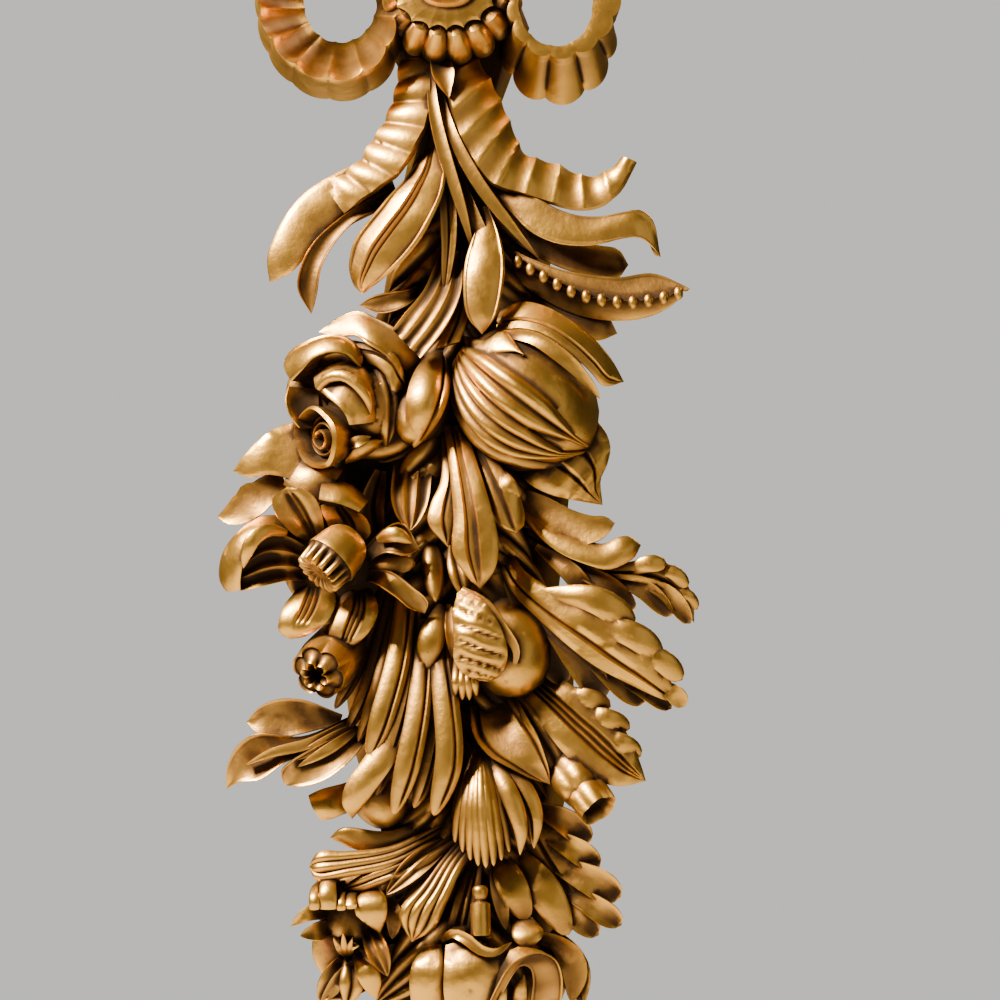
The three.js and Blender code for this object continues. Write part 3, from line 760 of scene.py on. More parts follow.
# %% Beads
BEAD_RADIUS = 2.8 * MM
BEAD_COUNT = 12
BEAD_SHAPE = (1.0, 1.0, 1.45)
BEAD_FINENESS = 3
EDGE_POINTS = 60
beading, bead_sockets = new_tree("beads", {"Count": "NodeSocketInt", "Radius": "NodeSocketFloat"})
bead_in = node(beading, "NodeGroupInput")
as_curve = node(beading, "GeometryNodeMeshToCurve", {"Mesh": bead_in.outputs["Geometry"]})
spaced = node(
    beading, "GeometryNodeResampleCurve",
    {"Curve": as_curve.outputs[0], "Count": bead_in.outputs["Count"]},
)
ball = node(
    beading, "GeometryNodeMeshIcoSphere",
    {"Radius": bead_in.outputs["Radius"], "Subdivisions": BEAD_FINENESS},
)
strung = node(
    beading, "GeometryNodeInstanceOnPoints",
    {"Points": spaced.outputs[0], "Instance": ball.outputs[0], "Scale": BEAD_SHAPE},
)
end_tree(beading, strung.outputs[0])


def beads(points, count, radius):
    spots, _ = evenly(points, np.linspace(0, 1, EDGE_POINTS))
    mesh = bpy.data.meshes.new("beads")
    mesh.from_pydata([tuple(p) for p in spots], [(i, i + 1) for i in range(len(spots) - 1)], [])
    row = bpy.data.objects.new("beads", mesh)
    shells.objects.link(row)
    return through_tree(row, beading, {bead_sockets["Count"]: count, bead_sockets["Radius"]: radius})


beads([(518, 262, 73), (541, 276, 82), (578, 295, 86), (620, 303, 87), (656, 300, 85), (678, 294, 81)],
      BEAD_COUNT, BEAD_RADIUS)

# %% [markdown]
# ## The great bud
# Right of the axis a round bud is half wrapped in ribbed husks, with a folded leaf lying over it. The
# bud is turned, and the husks are shells about the same axis, so they fit it from any side.

# %% Great bud
GREAT_BUD = dict(root=(460, 346, 46), tip=(592, 448, 66), radius=64, swell=0.5, blunt=0.55)
bud(**GREAT_BUD)
for turn_from, turn_to, strands in ((-100, -66, 2), (-68, -28, 3), (-30, 26, 3)):
    husk(turn_from, turn_to, ribs=strands, end=0.93, **GREAT_BUD)
blade(
    [(500, 310, 60), (520, 302, 72), (543, 306, 82), (566, 318, 90), (590, 336, 92), (610, 358, 86)],
    [(496, 330, 76), (521, 329, 96), (545, 336, 106), (568, 352, 108), (590, 372, 98), (604, 386, 88)],
    (624, 382, 74), crown=0.1, body=0.7, cuts=(0.35,),
)
leaf([(500, 334, 84), (534, 340, 108), (566, 362, 112), (590, 386, 100), (600, 400, 88)], 7, crown=-0.2)
blade([(464, 336, 60), (485, 340, 80), (502, 332, 88)], [(466, 346, 66), (490, 353, 96), (515, 352, 108)],
      (524, 356, 112), crown=0.2)
blade(
    [(548, 428, 56), (590, 418, 64), (604, 430, 66), (610, 446, 66), (608, 463, 64), (601, 480, 62)],
    [(512, 462, 56), (528, 482, 66), (545, 492, 68), (565, 498, 66), (586, 502, 62)],
    (603, 505, 56), crown=0.1, cuts=(-0.3, 0.3),
)

# %% [markdown]
# ## The rose
# The rose opens down and to the left. Its petals are curled bands, which a surface of revolution can't
# give, so each is a blade between its own edges. The heart is a cup with a spiral of petal in it.

# %% Rose
bud((378, 408, 0), (372, 402, 66), 56, swell=0.8, blunt=0.4)
bud((330, 394, 0), (328, 392, 58), 44, swell=0.8, blunt=0.4)
bud((436, 368, 30), (408, 442, 84), 27, swell=0.5)
leaf([(438, 350, 50), (427, 400, 92), (414, 448, 78)], 20, crown=0.45, cuts=(-0.6,))
bud((372, 402, 30), (345, 412, 88), 40)
blade(
    [(424, 356, 56), (410, 342, 68), (397, 330, 68), (376, 318, 62), (357, 310, 56), (338, 317, 52)],
    [(414, 376, 60), (397, 364, 78), (381, 352, 82), (367, 344, 80), (356, 336, 70), (338, 336, 60)],
    (318, 331, 50), crown=0.12, body=0.7, lip=0.06,
)
blade(
    [(352, 340, 56), (372, 345, 72), (394, 354, 80), (402, 366, 80)],
    [(358, 362, 62), (376, 366, 80), (388, 378, 84), (394, 392, 82)],
    (407, 388, 70), crown=0.2, body=0.7, cuts=(-0.2,),
)
blade(
    [(285, 358, 46), (294, 348, 52), (306, 342, 58), (320, 337, 62), (337, 335, 66), (352, 341, 68),
     (361, 353, 68)],
    [(291, 381, 66), (303, 371, 80), (315, 359, 88), (332, 353, 92), (347, 355, 92), (356, 363, 88),
     (362, 370, 80)],
    crown=0.35, body=0.7, lip=0.1,
)
blade(
    [(316, 388, 84), (328, 397, 98), (340, 408, 106), (348, 418, 106), (352, 428, 98)],
    [(318, 376, 62), (335, 364, 62), (354, 362, 60), (373, 368, 58), (378, 392, 60), (377, 424, 62)],
    crown=0.5, body=0.7, lip=0.06,
)
leaf(
    [(319, 389, 92), (330, 379, 102), (345, 377, 108), (358, 385, 110), (368, 399, 106), (372, 418, 92)],
    5, crown=0.4, base=0.8,
)
blade([(370, 368, 66), (377, 392, 80), (379, 428, 78)], [(388, 366, 60), (400, 388, 70), (398, 424, 66)],
      (386, 450, 62), crown=0.3, ribs=2)
blade([(390, 372, 60), (402, 392, 72), (401, 424, 70)], [(404, 376, 54), (414, 396, 62), (412, 424, 60)],
      (400, 446, 58), crown=0.3)
blade([(289, 386, 66), (286, 400, 72), (292, 417, 76), (302, 430, 74)],
      [(318, 388, 58), (318, 402, 60), (320, 417, 62), (322, 430, 64)], crown=-0.2, body=0.7)
HEART = flower_at((331, 437, 72), (-0.74, -0.06, 0.67))
cup(HEART, [(10, -26), (20, -16), (27, 0), (31, 12), (32, 20), (29, 23), (26, 17), (22, 0), (12, -8)])
spiral(HEART, turns=2.4, inner=3, outer=21, low=-10, high_in=18, high_out=8)
blade([(346, 458, 78), (356, 449, 88), (368, 442, 88)], [(345, 464, 70), (362, 459, 76), (376, 450, 76)],
      (384, 440, 76), crown=0.3)
leaf([(345, 446, 84), (358, 442, 96), (372, 437, 88)], 5, crown=-0.3)

# %% [markdown]
# ## The left leaves and the lily
# The lily has broad petals with V-cut lines, and a slotted trumpet that stands out furthest of anything
# on the drop. The trumpet is turned, and its slots are furrows that start at the collar.

# %% Left leaves
blade([(312, 418, 54), (298, 421, 60), (274, 429, 64), (256, 442, 64), (244, 455, 62)],
      [(336, 495, 56), (300, 482, 68), (270, 474, 68), (248, 477, 62)], (232, 471, 56), crown=0.12)
blade([(280, 470, 54), (254, 481, 60), (240, 488, 60), (229, 502, 58)],
      [(288, 490, 56), (272, 503, 64), (261, 514, 66), (244, 523, 62), (228, 524, 58)], (216, 517, 52),
      crown=-0.15, ragged=1.0)
blade([(300, 452, 64), (322, 462, 72), (346, 472, 72)], [(283, 484, 66), (304, 498, 78), (325, 503, 78)],
      crown=0.2)

# %% Lily
blade([(311, 545, 60), (290, 531, 80), (276, 512, 88), (274, 497, 88)],
      [(322, 541, 62), (324, 522, 82), (319, 504, 88), (308, 491, 88)], (288, 487, 84), crown=-0.12,
      cuts=(-0.2, 0.0, 0.25), run=0.8)
blade([(334, 543, 60), (328, 524, 80), (322, 506, 88)], [(360, 546, 60), (371, 531, 78), (362, 514, 84)],
      (340, 500, 86), crown=-0.12, cuts=(-0.1, 0.2), run=0.8)
blade(
    [(323, 480, 70), (350, 484, 74), (372, 502, 68)],
    [(320, 498, 92), (341, 503, 94), (363, 512, 86)],
    crown=0.25,
)
blade(
    [(312, 552, 62), (290, 537, 82), (270, 534, 90), (254, 543, 92), (240, 560, 88)],
    [(312, 580, 62), (290, 580, 82), (262, 586, 86), (244, 590, 84), (232, 588, 80)],
    crown=-0.15, scoops=3,
)
blade([(302, 519, 52), (263, 516, 62), (238, 531, 66), (222, 554, 66), (219, 580, 62), (226, 591, 60)],
      [(302, 532, 70), (270, 528, 90), (251, 541, 98), (244, 560, 98), (240, 580, 90), (240, 592, 84)],
      crown=0.3, body=0.7)
leaf([(288, 533, 90), (270, 530, 102), (256, 538, 108), (249, 552, 106), (245, 568, 96)], 7, crown=0.2)
blade([(300, 585, 60), (287, 602, 82), (281, 618, 90), (280, 631, 88)],
      [(330, 583, 62), (336, 600, 84), (328, 620, 92), (308, 635, 88)], (291, 639, 82), crown=0.2,
      cuts=(-0.2, 0.02, 0.25), run=0.6)
blade([(346, 589, 60), (336, 608, 82), (330, 634, 88)], [(370, 586, 60), (378, 610, 82), (367, 634, 88)],
      (341, 655, 80), crown=0.2, cuts=(-0.15, 0.1, 0.35), run=0.7)
blade([(362, 552, 62), (384, 530, 86), (402, 523, 92)], [(368, 562, 64), (388, 552, 92), (406, 555, 94)],
      (420, 549, 84), crown=-0.2, lip=0.12)
leaf([(378, 540, 90), (396, 534, 102), (413, 543, 96)], 7, crown=0.3)
blade([(365, 560, 58), (388, 556, 78), (413, 559, 78)], [(365, 573, 58), (383, 571, 78), (406, 572, 78)],
      (416, 566, 74), crown=0.1)
blade(
    [(364, 570, 60), (392, 572, 86), (413, 587, 90), (428, 602, 86)],
    [(364, 580, 60), (380, 585, 90), (398, 597, 94), (411, 608, 90)],
    (425, 613, 82), crown=-0.2, lip=0.12,
)
bud((330, 566, 0), (334, 562, 70), 52, swell=0.8, blunt=0.4)
bud((344, 556, 50), (342, 554, 112), 22, swell=0.5, blunt=0.4)
turned(
    "trumpet", (357, 533, 94), (319, 574, 117),
    [(0, 0), (0.08, 16), (0.25, 24), (0.5, 27), (0.64, 28.5), (0.69, 26.5), (0.95, 25.5), (1.0, 22),
     (0.96, 14), (0.94, 0)],
    flutes=15, depth=0.24, sides=90, sharp=1.2, flutes_from=0.66,
)

# %% [markdown]
# ## The middle leaves and the fruit
# Fluted leaves fan out at the centre, and two acanthus leaves reach to the right. Each lobe of an
# acanthus is a small leaf that springs from the rib.

# %% Middle leaves
blade([(444, 425, 62), (451, 480, 84), (454, 520, 92), (453, 550, 96), (463, 571, 96)],
      [(464, 425, 62), (479, 470, 88), (491, 510, 98), (498, 544, 102), (494, 569, 100)],
      (480, 589, 94), crown=0.22, cuts=(-0.28, -0.04, 0.12))
blade(
    [(442, 435, 58), (441, 480, 76), (431, 505, 84), (429, 523, 88)],
    [(454, 450, 62), (458, 490, 82), (457, 516, 88), (455, 532, 88)],
    (448, 547, 86), crown=0.25, cuts=(0.1,),
)
blade([(468, 440, 62), (485, 490, 84), (493, 510, 90), (502, 526, 92)],
      [(486, 446, 62), (504, 472, 84), (517, 492, 88), (523, 508, 84), (524, 524, 84)],
      (516, 533, 88), crown=0.25, cuts=(-0.3, -0.05))
leaf([(494, 470, 70), (507, 484, 90), (520, 499, 86)], 8, crown=0.2, point=0.4)
blade(
    [(394, 460, 48), (391, 495, 66), (397, 516, 72)],
    [(432, 460, 48), (430, 490, 66), (426, 508, 72), (418, 523, 74)],
    (410, 531, 74), crown=0.15, scoops=3,
)
leaf([(380, 470, 44), (372, 510, 56), (380, 545, 60)], 12, cuts=(0.0,))
bud((430, 540, 48), (436, 602, 82), 12, flutes=3)
leaf([(452, 545, 56), (458, 572, 76), (466, 600, 76)], 9, ribs=2)
blade(
    [(508, 484, 48), (544, 496, 60), (572, 510, 68), (591, 516, 72), (606, 517, 72)],
    [(514, 504, 50), (547, 528, 68), (572, 544, 74), (597, 541, 76), (609, 532, 74)],
    (615, 523, 70), crown=-0.15,
)
blade(
    [(516, 500, 50), (548, 523, 60), (580, 538, 70), (603, 544, 76), (620, 537, 78), (631, 537, 76)],
    [(520, 514, 52), (542, 538, 70), (562, 553, 78), (585, 563, 82), (606, 569, 82), (623, 564, 80),
     (635, 556, 76)],
    (641, 545, 72), crown=0.3, body=0.7,
)


def acanthus(body, lobes, crown=0.12):
    """A broad smooth body, with round lobes that spring from its rib like gouged fingers."""
    left, right, tip = body
    blade(left, right, tip, crown=crown, cuts=(0.3,), run=0.95)
    for spine, width, hollow in lobes:
        leaf(spine, width, base=0.3, belly=0.72, point=0.45, crown=-hollow, rooted=False)


acanthus(
    (
        [(532, 524, 46), (580, 552, 62), (612, 564, 72), (642, 560, 76), (664, 562, 74), (684, 580, 68),
         (693, 600, 62)],
        [(524, 540, 46), (562, 562, 64), (600, 575, 72), (634, 581, 74), (662, 588, 70), (684, 606, 62)],
        (695, 624, 58),
    ),
    [
        ([(536, 546, 56), (572, 574, 74), (595, 604, 68)], 10, 0.35),
        ([(560, 562, 62), (606, 584, 76), (635, 610, 68)], 10, 0.35),
        ([(596, 572, 66), (642, 588, 74), (672, 616, 66)], 10, 0.35),
        ([(630, 576, 66), (668, 594, 72), (691, 624, 60)], 9, 0.35),
        ([(622, 576, 66), (646, 564, 80), (667, 564, 76)], 8, -0.2),
        ([(648, 572, 66), (672, 572, 74), (688, 588, 68)], 7, -0.2),
        ([(664, 584, 62), (686, 594, 68), (698, 610, 58)], 6, -0.2),
    ],
)
acanthus(
    (
        [(510, 540, 46), (521, 567, 64), (542, 584, 76), (563, 597, 84), (588, 606, 90), (614, 620, 92),
         (640, 644, 90), (664, 672, 82)],
        [(496, 562, 50), (514, 594, 70), (540, 620, 80), (568, 645, 86), (596, 666, 86), (628, 683, 82),
         (660, 698, 74)],
        (684, 706, 64),
    ),
    [
        ([(544, 592, 78), (596, 600, 94), (634, 625, 86)], 14, -0.25),
        ([(580, 622, 80), (630, 633, 94), (661, 655, 84)], 13, -0.25),
        ([(618, 650, 76), (658, 658, 86), (682, 680, 76)], 11, -0.25),
        ([(650, 686, 70), (672, 692, 76), (685, 707, 66)], 9, 0.1),
        ([(508, 580, 64), (540, 634, 80), (565, 684, 72)], 17, 0.35),
        ([(540, 616, 72), (576, 656, 84), (605, 698, 74)], 15, 0.35),
        ([(578, 648, 74), (616, 678, 80), (644, 704, 70)], 13, 0.35),
        ([(614, 674, 72), (648, 692, 74), (672, 709, 64)], 9, 0.35),
    ],
)

# %% Fruit
bud((500, 602, 26), (520, 694, 80), 45, swell=0.5, blunt=0.5)
blade(
    [(458, 592, 94), (453, 612, 104), (455, 640, 110), (455, 660, 106), (470, 676, 102)],
    [(462, 590, 94), (479, 597, 106), (494, 615, 114), (504, 636, 114), (507, 655, 108), (501, 673, 100)],
    (490, 681, 96), crown=0.25, bars=7,
)
leaf([(462, 588, 92), (486, 603, 106), (504, 629, 110), (516, 650, 104), (512, 672, 94)], 5)
blade(
    [(437, 604, 56), (421, 630, 78), (418, 649, 80)],
    [(445, 606, 56), (447, 628, 80), (443, 646, 82), (435, 661, 80)],
    (426, 673, 76), crown=0.35,
)
leaf([(449, 604, 70), (451, 632, 88), (452, 657, 82)], 5)
for share in (-1.5, -0.5, 0.5, 1.5):
    top, foot = 465 + 5 * share, 466 + 7 * share
    spine = [(top, 658, 76), ((top + foot) / 2, 680, 96), (foot, 700 - 2 * share**2, 88)]
    leaf(spine, 4, base=0.8, point=0.4, crown=0.4)
turned(
    "pomegranate", (350, 640, 30), (317, 674, 98),
    [(0, 0), (0.15, 20), (0.45, 30), (0.75, 30), (0.9, 25), (0.98, 18), (1.04, 16), (0.98, 11), (0.84, 8),
     (0.8, 0)],
    flutes=6, depth=0.4, sides=60, flutes_from=0.86,
)

# %% [markdown]
# ## The lower fans, flowers and foot
# Below the fruit the trail narrows through fans of long channelled leaves to two open flowers. Ribs
# that spread evenly come from a loop, and the rest are blades and leaves as before. The leaves under
# the flowers end the drop, and are kept plainer.

# %% Fans
LONG_LOBES = [
    ([(384, 590, 46), (368, 640, 60), (350, 682, 62), (334, 710, 54)], 7),
    ([(392, 590, 48), (378, 650, 64), (362, 700, 68), (344, 736, 60)], 7),
    ([(400, 590, 52), (388, 650, 70), (374, 700, 76), (358, 742, 68)], 7),
    ([(406, 590, 56), (398, 660, 80), (383, 715, 88), (369, 757, 84)], 12),
    ([(414, 600, 56), (406, 690, 80), (390, 750, 84), (376, 797, 72)], 10),
    ([(424, 620, 60), (420, 700, 86), (409, 760, 92), (394, 814, 84)], 12),
    ([(436, 640, 56), (436, 720, 80), (424, 780, 82), (414, 808, 74)], 10),
    ([(434, 620, 60), (446, 700, 88), (449, 760, 94), (434, 815, 86)], 13),
]
for spine, width in LONG_LOBES:
    leaf(spine, width, belly=0.7, base=0.8, point=0.55, crown=0.35, cuts=(-0.45,))
blade([(398, 698, 66), (366, 755, 84), (347, 783, 86), (343, 803, 82)],
      [(414, 716, 70), (394, 761, 90), (374, 790, 88), (361, 808, 82)], (352, 819, 74), crown=0.3)
bud((374, 770, 26), (388, 828, 62), 31)
blade(
    [(342, 716, 52), (301, 700, 68), (276, 700, 72), (259, 708, 70)],
    [(340, 724, 54), (303, 733, 72), (276, 737, 74), (256, 731, 70)],
    (246, 722, 64), crown=-0.2, lip=0.05, pits=0.25,
)
blade([(348, 718, 54), (303, 736, 72), (256, 734, 80), (238, 746, 80), (228, 766, 76)],
      [(348, 728, 58), (309, 750, 80), (283, 763, 86), (261, 778, 86), (240, 781, 78)], (226, 789, 68),
      crown=-0.25, lip=0.06)
leaf([(350, 722, 60), (312, 742, 84), (272, 752, 92), (246, 764, 88)], 5)
leaf([(356, 726, 60), (325, 743, 82), (292, 760, 86)], 6)
leaf([(360, 728, 60), (330, 748, 84), (298, 766, 86)], 5)
blade(
    [(364, 728, 56), (326, 742, 80), (293, 759, 86), (282, 771, 82)],
    [(368, 738, 56), (351, 759, 82), (326, 778, 88), (303, 785, 84)],
    (285, 785, 74), crown=-0.25, lip=0.08,
)
blade([(372, 776, 48), (341, 785, 62), (321, 790, 64), (305, 798, 60)],
      [(376, 806, 50), (346, 813, 66), (332, 818, 70), (318, 821, 64)], crown=0.3)
blade([(470, 706, 56), (474, 735, 74), (490, 755, 84), (507, 765, 86), (530, 777, 84)],
      [(514, 692, 56), (525, 714, 76), (537, 735, 86), (545, 756, 86), (549, 771, 82)], (550, 784, 76),
      crown=-0.25, cuts=(-0.76, 0.76))
blade(
    [(526, 662, 46), (548, 670, 58), (570, 684, 74), (592, 700, 78), (610, 714, 76), (626, 732, 76),
     (637, 754, 74)],
    [(502, 686, 50), (519, 700, 62), (543, 727, 78), (563, 751, 84), (589, 775, 86), (618, 785, 80)],
    (646, 781, 70), crown=0.14, cuts=(-0.25, -0.02, 0.2),
)
for spine in (
    [(552, 692, 60), (586, 698, 80), (611, 707, 70)], [(572, 712, 64), (606, 718, 82), (630, 729, 70)],
    [(590, 734, 66), (620, 742, 82), (641, 757, 68)],
):
    leaf(spine, 10, base=0.3, belly=0.7, point=0.45, crown=0.2, rooted=False)
leaf([(508, 690, 56), (534, 726, 74), (556, 762, 76), (566, 792, 64)], 12, ribs=2)
bud((477, 760, 30), (485, 860, 70), 30, swell=0.6)
FAN_RIBS = 9
for rib in range(FAN_RIBS):
    share = rib / (FAN_RIBS - 1)
    arch = math.sin(math.pi * share)
    leaf(
        [(477 + 5 * share, 748, 64), (464 + 36 * share, 796, 84 + 12 * arch),
         (455 + 62 * share, 842 + 24 * arch, 78 + 14 * arch)],
        5.4, base=0.6, belly=0.7, point=0.5, crown=0.5,
    )
leaf([(484, 744, 56), (512, 776, 76), (532, 812, 84), (534, 848, 76)], 12, crown=0.3, cuts=(0.3,))
leaf([(482, 752, 60), (506, 786, 88), (520, 824, 92), (520, 854, 84)], 9, crown=0.3)
turned(
    "open_bud", (552, 748, 44), (598, 808, 92),
    [(0, 0), (0.2, 20), (0.5, 26), (0.68, 24), (0.74, 21), (0.78, 22), (0.98, 21), (1.0, 19), (0.94, 15),
     (0.84, 13), (0.82, 0)],
    flutes=5, depth=0.12, sides=60, sharp=1.2,
)

# %% Lower fans
blade([(438, 812, 46), (390, 832, 62), (342, 829, 62)], [(440, 828, 48), (379, 853, 64), (350, 848, 62)],
      (329, 839, 56), crown=0.2)
blade([(444, 822, 50), (390, 846, 72), (345, 851, 78), (318, 852, 76)],
      [(448, 836, 52), (400, 863, 78), (347, 876, 80), (319, 882, 74)], (309, 867, 68), crown=0.1, ribs=3)
blade(
    [(446, 836, 52), (400, 860, 74), (365, 873, 78)],
    [(456, 846, 54), (420, 869, 78), (385, 883, 78), (360, 891, 74)],
    (340, 889, 68), crown=0.1, ribs=2,
)
leaf([(448, 842, 56), (414, 866, 84), (386, 894, 78)], 11, scoops=2)
blade(
    [(454, 844, 52), (420, 886, 82), (402, 905, 88), (400, 918, 86)],
    [(476, 850, 54), (461, 867, 80), (447, 899, 88), (434, 927, 86)],
    (412, 941, 78), crown=0.12, ribs=4,
)
blade([(470, 860, 56), (455, 900, 76), (445, 936, 74)], [(482, 862, 58), (478, 905, 78), (473, 938, 76)],
      crown=0.1, cuts=(-0.3, 0.3))
acanthus(
    (
        [(540, 800, 40), (562, 820, 58), (578, 846, 62), (590, 872, 60), (602, 900, 56)],
        [(512, 822, 40), (532, 866, 54), (556, 900, 58), (582, 926, 52)],
        (610, 924, 48),
    ),
    [
        ([(530, 806, 50), (566, 822, 68), (591, 843, 60)], 13, 0.3),
        ([(538, 832, 54), (576, 850, 70), (600, 868, 60)], 12, 0.3),
        ([(546, 862, 56), (590, 880, 70), (621, 899, 58)], 15, 0.3),
        ([(556, 886, 56), (596, 908, 68), (622, 927, 54)], 12, 0.3),
        ([(548, 896, 54), (576, 918, 66), (599, 937, 56)], 11, 0.3),
    ],
)
leaf([(498, 856, 54), (512, 886, 72), (527, 920, 68)], 15, point=0.45, crown=0.12)
leaf([(512, 852, 50), (545, 893, 68), (569, 936, 64)], 17, point=0.5, crown=0.1)
leaf([(494, 862, 56), (500, 895, 72), (506, 930, 70)], 8)

# %% Two open flowers
bud((352, 918, 0), (350, 904, 60), 36, swell=0.8, blunt=0.4)
bud((350, 950, 0), (350, 952, 44), 40, swell=0.8, blunt=0.4)
BLOCKS = [(311, 319, 888, 911), (321, 336, 881, 911), (338, 345, 894, 911), (347, 356, 895, 909)]
for left, right, top, foot in BLOCKS:
    waist = (top + foot) / 2
    blade([(left + 6, top - 6, 54), (left, top, 80), (left - 1, waist, 90), (left, foot, 86)],
          [(right + 4, top - 6, 54), (right, top, 82), (right + 1, waist, 92), (right, foot, 88)],
          crown=0.2)
blade([(366, 888, 60), (357, 898, 84), (356, 911, 88), (366, 922, 84)],
      [(376, 886, 60), (386, 896, 86), (387, 911, 88), (384, 923, 82)], (380, 933, 74), crown=0.15)
leaf([(388, 896, 56), (394, 916, 70), (392, 940, 66)], 8)
leaf([(340, 914, 36), (324, 911, 66), (308, 913, 84), (291, 925, 80)], 8, crown=-0.25)
leaf([(336, 928, 50), (316, 932, 70), (300, 936, 70)], 9)
for tip in ((334, 936, 90), (344, 931, 94), (353, 937, 92), (360, 944, 86)):
    leaf([(346, 958, 50), ((346 + tip[0]) / 2, 946, 84), tip], 4, base=0.8, crown=0.3)
for across, down, out in ((326, 951, 84), (338, 953, 88), (329, 962, 86), (341, 964, 82)):
    bud((across, down, out - 24), (across, down, out + 6), 8, swell=0.6, blunt=0.6)
leaf([(366, 926, 60), (378, 950, 82), (388, 976, 74)], 11, scoops=2)
leaf([(356, 952, 56), (368, 972, 74), (376, 1000, 64)], 11, crown=0.2)
leaf([(350, 956, 52), (352, 982, 66), (346, 1008, 58)], 12, ribs=2)
leaf([(342, 962, 48), (330, 985, 60), (318, 1004, 52)], 12)
turned(
    "stub", (480, 884, 84), (481, 934, 92),
    [(0, 0), (0.02, 6), (0.1, 8), (0.22, 7), (0.3, 5), (0.36, 9), (0.44, 10), (0.92, 10), (0.98, 9),
     (1.0, 0)],
)
bud((466, 990, 20), (470, 978, 66), 54, blunt=0.45)
bud((532, 988, 0), (530, 986, 54), 36, swell=0.8, blunt=0.4)
blade([(424, 948, 66), (413, 962, 82), (410, 982, 84), (412, 1006, 74)],
      [(441, 944, 74), (443, 962, 90), (442, 985, 90), (440, 1010, 80)], crown=0.18, pits=0.4)
blade([(446, 944, 82), (445, 966, 98), (445, 990, 98), (450, 1018, 84)],
      [(480, 940, 80), (504, 951, 92), (506, 972, 94), (488, 1014, 82)], crown=0.14, pits=0.5)
leaf(
    [(441, 941, 72), (454, 931, 94), (468, 937, 100), (482, 947, 102), (496, 949, 100), (512, 940, 88)],
    5, crown=-0.3,
)
blade(
    [(484, 1012, 84), (497, 984, 98), (508, 965, 104), (522, 954, 104), (539, 949, 98), (555, 957, 90),
     (562, 976, 80), (561, 1006, 68)],
    [(492, 1014, 74), (503, 990, 86), (512, 973, 92), (521, 963, 92), (530, 966, 86), (533, 979, 76),
     (532, 993, 66), (530, 1010, 58)],
    crown=-0.12, lip=0.08,
)
blade([(514, 920, 62), (513, 936, 82)], [(532, 918, 62), (543, 932, 80)], (527, 951, 84), crown=0.2)
leaf([(504, 1014, 60), (502, 998, 84), (506, 982, 86)], 4.5, crown=0.3)
leaf([(521, 1012, 56), (520, 992, 80), (524, 973, 82)], 6.5, crown=0.3)
leaf([(550, 934, 50), (574, 966, 66), (572, 1004, 62)], 13)

# %% Foot
leaf([(520, 940, 46), (568, 965, 64), (584, 1005, 60)], 19, cuts=(0.0,))
leaf([(410, 950, 46), (350, 982, 60), (320, 1005, 56)], 17, cuts=(0.0,))
blade(
    [(418, 1000, 42), (374, 1048, 60), (344, 1092, 60)],
    [(444, 1030, 44), (424, 1080, 60), (386, 1128, 58)],
    (350, 1138, 52), cuts=(0.0,),
)
blade(
    [(512, 1000, 42), (558, 1048, 60), (588, 1094, 60)],
    [(488, 1030, 44), (508, 1080, 60), (546, 1130, 58)],
    (578, 1142, 52), cuts=(0.0,),
)
leaf([(450, 1070, 40), (434, 1140, 64), (416, 1190, 54)], 20, ribs=2)
leaf([(485, 1070, 40), (502, 1140, 64), (514, 1192, 54)], 20, ribs=2)
bud((464, 1045, 36), (466, 1155, 80), 26, flutes=5)
leaf([(466, 1120, 34), (466, 1180, 54), (464, 1218, 46)], 20, cuts=(0.0,))

# %% [markdown]
# ## One skin
# The carving is one piece, so the shells are joined by a boolean into a single closed skin. The ground
# behind them is the base that they join, and whatever reaches behind the wall plane is planed off.

# %% Ground
SHOULDER = 0.8
SHOULDER_OUT = 0.72
GROUND = [
    (-45, 390, 505, 36), (20, 375, 530, 38), (100, 418, 500, 38), (210, 395, 540, 40),
    (300, 380, 560, 40), (410, 330, 580, 42), (590, 300, 560, 42), (670, 340, 575, 42),
    (750, 350, 575, 42), (840, 380, 560, 40), (940, 330, 560, 40), (1030, 395, 535, 40),
    (1140, 444, 494, 34),
]
ground_rings = []
for down, left, right, out in GROUND:
    middle, half = (left + right) / 2, (right - left) / 2
    ring = []
    for side, share in ((-1, 0), (-SHOULDER, SHOULDER_OUT), (0, 1), (SHOULDER, SHOULDER_OUT), (1, 0)):
        ring.append(place((middle + side * half, down, out * share)))
    ground_rings.append(ring)
ground = skin("ground", np.array(ground_rings))
shells.objects.unlink(ground)
bpy.context.scene.collection.objects.link(ground)
print("ground has", len(GROUND), "sections")

# %% Join and plane the back
WALL_THICK = 0.2


def box_shell(name, corner_low, corner_high):
    mesh = bpy.data.meshes.new(name)
    work = bmesh.new()
    bmesh.ops.create_cube(work, size=1.0)
    for vertex in work.verts:
        for axis in range(3):
            share = vertex.co[axis] + 0.5
            vertex.co[axis] = corner_low[axis] + share * (corner_high[axis] - corner_low[axis])
    work.to_mesh(mesh)
    work.free()
    return bpy.data.objects.new(name, mesh)


def applied_boolean(obj, operation, **operand):
    modifier = obj.modifiers.new("join", "BOOLEAN")
    modifier.operation = operation
    modifier.solver = "MANIFOLD"
    for key, value in operand.items():
        setattr(modifier, key, value)
    keep_mesh(obj, modifier)


reach = 2 * high.z
wall = box_shell("wall", (-reach, 0, -reach), (reach, WALL_THICK, reach))
bpy.context.scene.collection.objects.link(wall)
applied_boolean(ground, "UNION", operand_type="COLLECTION", collection=shells)
applied_boolean(ground, "DIFFERENCE", operand_type="OBJECT", object=wall)
for scrap in [*shells.objects, wall]:
    bpy.data.objects.remove(scrap)
bpy.data.collections.remove(shells)
print("joined skin has", len(ground.data.vertices), "points")

